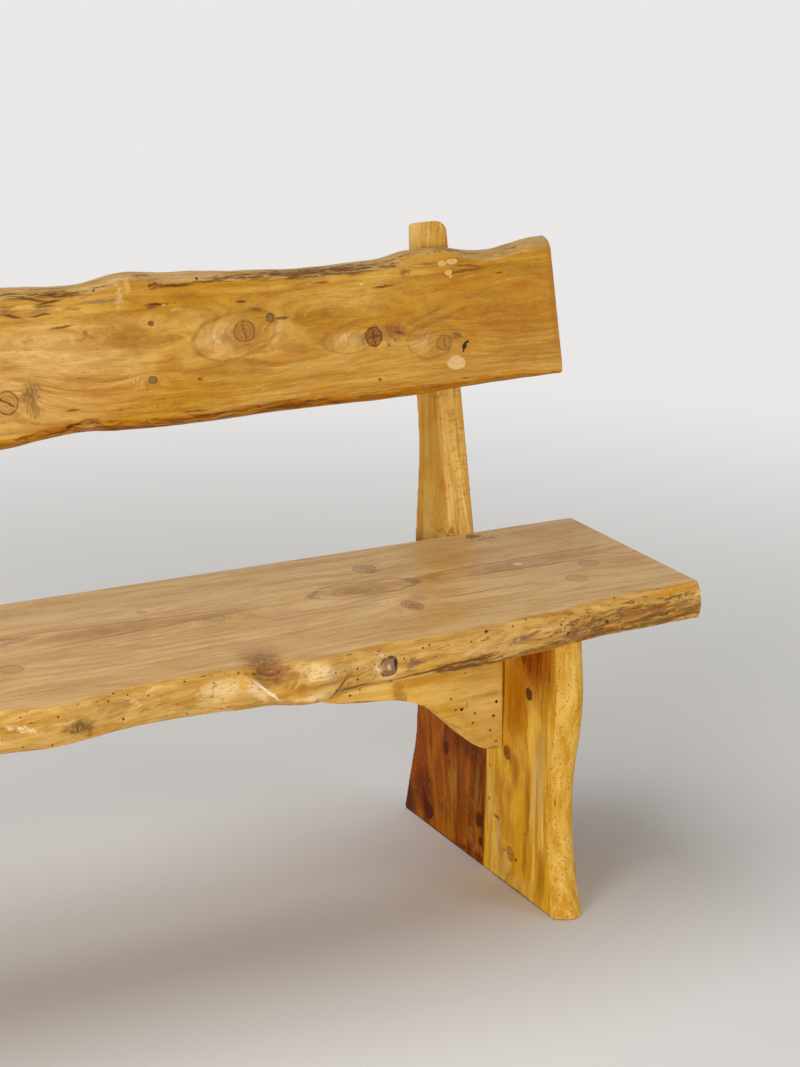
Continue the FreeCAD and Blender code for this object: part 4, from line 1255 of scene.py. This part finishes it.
BOARD_SPOTS = [
    (340, -118, 34, 8, (0.13, 0.028, 0.001), 0.9, "Streaky"),
    (322, -96, 16, 7, (0.14, 0.03, 0.002), 0.85, "Soft"),
    (318, -144, 26, 4, (0.13, 0.028, 0.001), 0.85, "Streaky"),
    (325, -82, 14, 9, (0.15, 0.034, 0.002), 0.85, "Soft"),
    (300, -128, 50, 6, (0.24, 0.065, 0.001), 0.85, "Streaky"), (342, -113, 5, 3, SOOT, 0.85, "Soft"),
    (324, -110, 4, 2, SOOT, 0.8, "Soft"), (318, -145, 4, 2, SOOT, 0.8, "Soft"),
    (300, -66, 30, 5, RUST, 0.7, "Streaky"), (250, -45, 50, 5, (0.3, 0.1, 0.001), 0.6, "Streaky"),
    (265, -135, 50, 8, (0.47, 0.26, 0.025), 0.7, "Streaky"),
    (235, -90, 40, 4, (0.4, 0.17, 0.004), 0.7, "Streaky"), (120, -96, 50, 3, RUST, 0.7, "Streaky"),
    (60, -128, 34, 3, (0.3, 0.095, 0.001), 0.7, "Streaky"),
    (88, -91, 2, 6, (0.3, 0.11, 0.004), 0.8, "Smooth"),
    (150, -106, 60, 4, (0.76, 0.52, 0.21), 0.6, "Streaky"),
    (110, 4, 56, 4, (0.7, 0.46, 0.13), 0.8, "Smooth"),
    (120, 16, 60, 4, (0.52, 0.175, 0.001), 0.85, "Smooth"),
    (84, -14, 3, 10, (0.2, 0.08, 0.004), 0.9, "Smooth"), (103, 7, 3, 4, (0.26, 0.1, 0.01), 0.8, "Smooth"),
    (150, 5, 3, 6, (0.28, 0.11, 0.01), 0.6, "Smooth"), (43, -65, 2.4, 3, UMBER, 0.95, "Hole"),
    (46, -35, 1.6, 5, UMBER, 0.85, "Smooth"), (183, -46, 13, 16, (0.26, 0.085, 0.004), 0.6, "Soft"),
    (30, -40, 20, 10, (0.66, 0.4, 0.12), 0.5, "Soft"),
    (100, -55, 60, 8, (0.56, 0.29, 0.03), 0.5, "Streaky"), (20, -120, 20, 12, AMBER, 0.6, "Streaky"),
    (90, 20.5, 90, 2.2, (0.2, 0.06, 0.001), 0.8, "Smooth"),
    # Painted shadow: a dark line along the foot, where the board meets the floor.
    (0, -60, 2.4, 140, (0.05, 0.014, 0.001), 0.95, "Plain"),
    # Painted shadow: a dark line in the corner where the bracket's front meets the board.
    (290, -30.5, 95, 2.0, (0.14, 0.03, 0.001), 0.9, "Plain"),
    (183, 10, 3.0, 42, (0.3, 0.11, 0.004), 0.5, "Plain"),
]
FRONT_BOARD = {
    "pale": (0.86, 0.55, 0.09), "mid": (0.75, 0.405, 0.016), "deep": (0.52, 0.195, 0.003), "bend": 0.02,
    "heart": (-60, 90), "ring": 5.0, "ring_depth": 0.2, "broad": (0.26, 0.016, 0.03), "streak": 0.6,
    "fibre": 0.38, "patch": 0.5, "fleck": 0.35, "rough": 0.28, "shine": 0.03, "coat": 0.02,
    "knots": [
        ("side", 281, -95, 8, 8, "dark", 6, 0), ("side", 183, -40, 9, 9, "brown", 8, 30),
        ("side", 46, -50, 10, 9, "light", 8, 0),
    ],
    "halos": {"side": BOARD_HALOS},
    "spots": {"side": BOARD_SPOTS},
    "live": {
        "live": {
            "gold": (0.74, 0.43, 0.08), "brown": (0.59, 0.29, 0.018), "share": 0.96, "grooves": -0.6,
            "pale": (0.84, 0.57, 0.18), "pale_share": 0.45, "grain": (0.09, 0.016, 0.016), "slant": 0.0,
            "smudge": (0.46, 0.195, 0.004), "cut": (0.26, 0.09, 0.003), "hole_gap": 3.6, "holes": 0.95,
            "dark": [("side", 190, -160, 130, 30, 0.45)],
        },
    },
}
POST_HALOS = [
    (95, 106, 50, 17, (0.4, 0.175, 0.012), 0.85, "Smooth"),
    (155, 62, 22, 50, (0.14, 0.028, 0.001), 0.75, "Soft"),
    (112, 38, 36, 9, (0.24, 0.125, 0.018), 0.75, "Smooth"),
    (60, 60, 40, 20, (0.2, 0.06, 0.004), 0.6, "Soft"), (45, 195, 40, 34, (0.13, 0.022, 0.001), 0.8, "Soft"),
    (10, 232, 40, 24, (0.06, 0.014, 0.001), 0.8, "Soft"),
    (30, 120, 30, 30, (0.36, 0.14, 0.004), 0.6, "Soft"), (825, 200, 30, 90, (0.74, 0.51, 0.2), 0.6, "Soft"),
]
# Painted shade: the post's inner face above the seat is made darker than its front.
POST_INNER_HALOS = [
    (560, 160, 180, 90, (0.48, 0.24, 0.022), 0.7, "Smooth"),
]
POST_SPOTS = [
    (110, 172, 70, 5, (0.13, 0.026, 0.001), 0.8, "Streaky"),
    (70, 92, 44, 4, (0.14, 0.03, 0.001), 0.8, "Streaky"),
    (60, 80, 24, 4, (0.11, 0.018, 0.001), 0.8, "Streaky"),
    (60, 138, 46, 4, (0.15, 0.03, 0.001), 0.75, "Streaky"),
    (100, 200, 60, 4, (0.16, 0.034, 0.001), 0.6, "Streaky"),
    (32, 58, 14, 10, (0.34, 0.15, 0.04), 0.6, "Soft"), (78, 52, 8, 14, (0.36, 0.18, 0.04), 0.4, "Wrinkled"),
    (20, 42, 10, 10, (0.28, 0.15, 0.045), 0.6, "Soft"),
    (14, 106, 10, 10, (0.44, 0.125, 0.002), 0.7, "Soft"), (8, 34, 8, 14, (0.05, 0.01, 0.001), 0.85, "Soft"),
    (8, 70, 7, 22, (0.08, 0.016, 0.001), 0.8, "Soft"), (130, 137, 16, 9, (0.13, 0.028, 0.002), 0.6, "Soft"),
    (22, 178, 17, 19, (0.08, 0.012, 0.001), 0.7, "Soft"),
    (62, 36, 14, 12, (0.1, 0.018, 0.001), 0.6, "Soft"),
    (90, 24.5, 95, 2.4, (0.08, 0.016, 0.001), 0.85, "Plain"),
    # Painted shadow: a dark line along the foot, where the post meets the floor.
    (0, 140, 3, 160, (0.025, 0.006, 0.001), 0.95, "Plain"),
    (545, 140, 46, 40, (0.5, 0.27, 0.05), 0.4, "Soft"), (437, 125, 9, 60, (0.5, 0.255, 0.016), 0.6, "Soft"),
    (610, 150, 3, 30, (0.3, 0.12, 0.02), 0.8, "Soft"),
    (434, 125, 4, 60, (0.2, 0.08, 0.012), 0.6, "Wrinkled"),
]
REAR_POST = {
    "pale": (0.78, 0.51, 0.15), "mid": (0.68, 0.395, 0.072), "deep": (0.52, 0.255, 0.024),
    "foot": [(0.27, 0.056, 0.001), (0.4, 0.12, 0.003), (0.09, 0.012, 0.001)], "saw": True, "bend": 0.02,
    "heart": (150, 100), "ring": 5.0, "ring_depth": 0.35, "broad": (0.2, 0.016, 0.03), "streak": 0.7,
    "fibre": 0.4, "patch": 0.5, "fleck": 0.3, "rough": 0.28, "shine": 0.02, "coat": 0.02,
    "knots": [
        ("side", 132, 126, 10, 6.5, "dark", 6, 0), ("side", 22, 177, 11, 13, "dark", 8, 20),
        ("side", 62, 33, 11, 9, "dark", 8, 0), ("side", 33, 29, 6, 5, "dark", 3, 0),
    ],
    "halos": {"side": POST_HALOS, "inner": POST_INNER_HALOS},
    "spots": {"side": POST_SPOTS},
}
BRACKET_HALOS = [
    # Painted shade: these two orange-brown halos along the upper edge stand for the seat's shadow.
    (452, 300, 60, 12, (0.58, 0.26, 0.008), 0.75, "Soft"),
    (540, 306, 40, 10, (0.58, 0.26, 0.008), 0.7, "Soft"),
    (413, 288, 11, 20, (0.4, 0.195, 0.025), 0.8, "Soft"),
    # Painted highlight: a pale pink patch.
    (522, 248, 24, 13, (0.86, 0.6, 0.23), 0.55, "Soft"),
    (549, 239, 13, 5, (0.66, 0.28, 0.01), 0.45, "Soft"),
    # Painted light: a bright patch near the leg that makes up for the shade there.
    (540, 268, 36, 64, (0.95, 0.66, 0.19), 0.85, "Smooth"),
    (345, 290, 46, 7, (0.68, 0.4, 0.13), 0.6, "Soft"),
    (480, 252, 40, 6, (0.62, 0.31, 0.02), 0.55, "Streaky"),
    (548, 262, 10, 7, (0.6, 0.36, 0.11), 0.6, "Soft"),
]
BRACKET_SPOTS = [
    (504, 249, 2.3, 2.1, SOOT, 0.95, "Hole"), (554, 251, 1.9, 2.3, SOOT, 0.95, "Hole"),
    (550, 233, 2.0, 1.8, UMBER, 0.95, "Hole"), (546, 213, 1.6, 1.6, UMBER, 0.95, "Hole"),
    (520, 228, 2.0, 2.0, OLIVE, 0.9, "Hole"), (523, 240, 1.4, 1.4, UMBER, 0.85, "Hole"),
    (495, 250, 1.6, 1.3, UMBER, 0.8, "Hole"), (488, 266, 1.8, 2.0, OLIVE, 0.8, "Hole"),
    (554, 197, 1.7, 1.5, UMBER, 0.9, "Hole"), (508, 297, 1.6, 1.4, OLIVE, 0.8, "Hole"),
    (346, 294, 1.7, 1.5, UMBER, 0.9, "Hole"), (359, 300, 1.5, 1.5, UMBER, 0.85, "Hole"),
    (511, 254, 2, 5, OLIVE, 0.6, "Smooth", 0.3), (423, 276, 4, 3, UMBER, 0.7, "Soft"),
    (462, 252, 3, 2, UMBER, 0.8, "Soft"), (447, 262, 3, 2, UMBER, 0.8, "Soft"),
    (400, 277, 30, 2.6, RUST, 0.75, "Smooth", -0.1), (350, 284, 44, 2.0, RUST, 0.8, "Smooth", -0.08),
    (470, 242, 60, 2.4, (0.5, 0.25, 0.01), 0.7, "Smooth", -0.62),
    (548, 189, 14, 2.6, (0.46, 0.21, 0.01), 0.8, "Smooth"),
    # Painted shadow: a dark line along the top, under the seat.
    (420, 306, 140, 3.0, (0.2, 0.065, 0.003), 0.85, "Smooth", 0.03),
    # Painted shadow: a dark line in the gap where the bracket meets the leg.
    (564, 250, 1.8, 130, (0.1, 0.024, 0.001), 0.95, "Plain"),
]
# The bracket's tones are brighter than its wood: painted light that makes up for the shade under the seat.
BRACKET = {
    "pale": (0.82, 0.54, 0.145), "mid": (0.74, 0.45, 0.08), "deep": (0.64, 0.33, 0.022), "bend": 0.025,
    "heart": (180, 60), "ring": 6.0, "ring_depth": 0.15, "broad": (0.08, 0.026, 0.03), "streak": 0.45,
    "fibre": 0.22, "patch": 0.45, "fleck": 0.25, "rough": 0.3, "shine": 0.06, "coat": 0.03,
    "knots": [],
    "halos": {"side": BRACKET_HALOS},
    "spots": {"side": BRACKET_SPOTS},
}


def turned(look, about):
    """The left pieces' wood: the same kind with its marks turned end for end along the grain."""
    sheets = {}
    for layer in ("halos", "spots"):
        sheets[layer] = {
            sheet: [(2 * about - row[0], *row[1:]) for row in rows if row[6] != "Plain"]
            for sheet, rows in look[layer].items()
        }
    knots = [(row[0], 2 * about - row[1], *row[2:]) for row in look["knots"]]
    return dict(look, knots=knots, **sheets)


def dress(piece, material):
    piece.data.materials.clear()
    piece.data.materials.append(material)


dress(pieces["seat"], wood("seat_wood", "seat", SEAT))
dress(pieces["back"], wood("back_wood", "back", BACK))
BRACKET_LEFT = dict(BRACKET, spots={"side": BRACKET_SPOTS[1::3]})
WOODS = {
    "right": (FRONT_BOARD, REAR_POST, BRACKET),
    "left": (turned(FRONT_BOARD, 170), turned(REAR_POST, 90), BRACKET_LEFT),
}
AXES = {"front_board": "upright", "rear_post": "upright", "bracket": "bracket"}
for word, looks in WOODS.items():
    for (part, axes), look in zip(AXES.items(), looks):
        dress(pieces[part + "_" + word], wood(part + "_wood_" + word, axes, look))

plug_wood = plain("plug_wood", (0.63, 0.405, 0.125), (0.56, 0.340, 0.095), 0.42, (0.02, 0.003, 0.003))
filler = plain("filler", (0.64, 0.400, 0.125), (0.54, 0.310, 0.080), 0.5, (0.006, 0.006, 0.006))
peg_wood = plain("peg_wood", (0.62, 0.42, 0.20), (0.54, 0.34, 0.15), 0.6, (0.01, 0.01, 0.002))
steel = plain("screw_steel", (0.60, 0.60, 0.58), (0.48, 0.48, 0.47), 0.3, (0.002, 0.002, 0.002), 1.0)
dress(pieces["plugs"], plug_wood)
dress(pieces["filler"], filler)
for node in ("leg_seam_tongues", "bracket_dowels"):
    dress(frame["nodes"][node], peg_wood)
dress(frame["nodes"]["backrest_screws"], steel)

# Camera: its place in metres, how far it turns from +Y towards +X, how far it looks down, how far it leans
EYE = (-1.0152, -2.8541, 1.4573)
TURN = math.radians(26.871)
PITCH = math.radians(16.897)
LEAN = math.radians(0.192)
cam = bpy.data.cameras.new("view")
cam.lens = 90.65
cam.sensor_width = 36.0
cam_object = bpy.data.objects.new("view", cam)
scene.collection.objects.link(cam_object)
ahead = Vector((math.sin(TURN) * math.cos(PITCH), math.cos(TURN) * math.cos(PITCH), -math.sin(PITCH)))
level = Vector((math.cos(TURN), -math.sin(TURN), 0))
steep = ahead.cross(level)
right = level * math.cos(LEAN) + steep * math.sin(LEAN)
down = steep * math.cos(LEAN) - level * math.sin(LEAN)
rows = [(right[k], -down[k], -ahead[k], EYE[k]) for k in range(3)]
cam_object.matrix_world = Matrix((*rows, (0, 0, 0, 1)))
scene.camera = cam_object
scene.view_settings.view_transform = "Standard"


# Floor and light
def lamp(name, place, target, size, power, tone):
    """Square area light that points at a target."""
    data = bpy.data.lights.new(name, "AREA")
    data.shape = "RECTANGLE"
    data.size = size
    data.size_y = size
    data.energy = power
    data.color = tone
    holder = bpy.data.objects.new(name, data)
    holder.location = place
    holder.rotation_euler = (Vector(target) - Vector(place)).to_track_quat("-Z", "Y").to_euler()
    scene.collection.objects.link(holder)


def pale_rays(b):
    """1 for the rays that show the pale background: the camera's, mirrored and passing ones."""
    kinds = b.make("LightPath", {}).outputs
    straight = b.calc("MAXIMUM", kinds["Is Camera Ray"], kinds["Is Glossy Ray"])
    return b.calc("MAXIMUM", straight, kinds["Is Transmission Ray"])


AIM = (0.35, 0, 0.4)
lamp("key", (-3.0, -2.6, 0.80), AIM, 1.6, 98, (1, 0.985, 0.96))
lamp("fill", (2.3, -2.9, 0.55), AIM, 1.6, 42, (1, 0.99, 0.97))
lamp("top", (-0.8, 0.0, 2.8), (-0.1, 0, 0.4), 2.4, 48, (1, 0.99, 0.975))

FLOOR_HALF = 20
corners = [(x * FLOOR_HALF, y * FLOOR_HALF, 0) for x, y in ((-1, -1), (1, -1), (1, 1), (-1, 1))]
floor_mesh = bpy.data.meshes.new("floor")
floor_mesh.from_pydata(corners, [], [(0, 1, 2, 3)])
floor = bpy.data.objects.new("floor", floor_mesh)
scene.collection.objects.link(floor)
floor_mat = bpy.data.materials.new("floor")
floor_mat.use_nodes = True
b = Nodes(floor_mat.node_tree)
diffuse = floor_mat.node_tree.nodes["Principled BSDF"]
diffuse.inputs["Roughness"].default_value = 0.9
diffuse.inputs["Specular IOR Level"].default_value = 0.1
diffuse.inputs["Base Color"].default_value = (0.76, 0.75, 0.735, 1)
where = b.make("TexCoord", {}).outputs["Object"]
away = b.step(b.vector("LENGTH", where), 0.9, 3.2)
seen = pale_rays(b)
glow = b.make("Emission", {"Color": (0.82, 0.808, 0.795, 1), "Strength": 1.0}).outputs[0]
both = b.make("MixShader", {0: b.calc("MULTIPLY", away, seen), 1: diffuse.outputs[0], 2: glow}).outputs[0]
b.put(floor_mat.node_tree.nodes["Material Output"].inputs["Surface"], both)
floor_mesh.materials.append(floor_mat)

world = bpy.data.worlds.new("world")
world.use_nodes = True
b = Nodes(world.node_tree)
background = world.node_tree.nodes["Background"]
b.put(background.inputs["Strength"], b.calc("MULTIPLY_ADD", pale_rays(b), 0.48, 0.34))
background.inputs["Color"].default_value = (1.0, 0.985, 0.97, 1)
scene.world = world
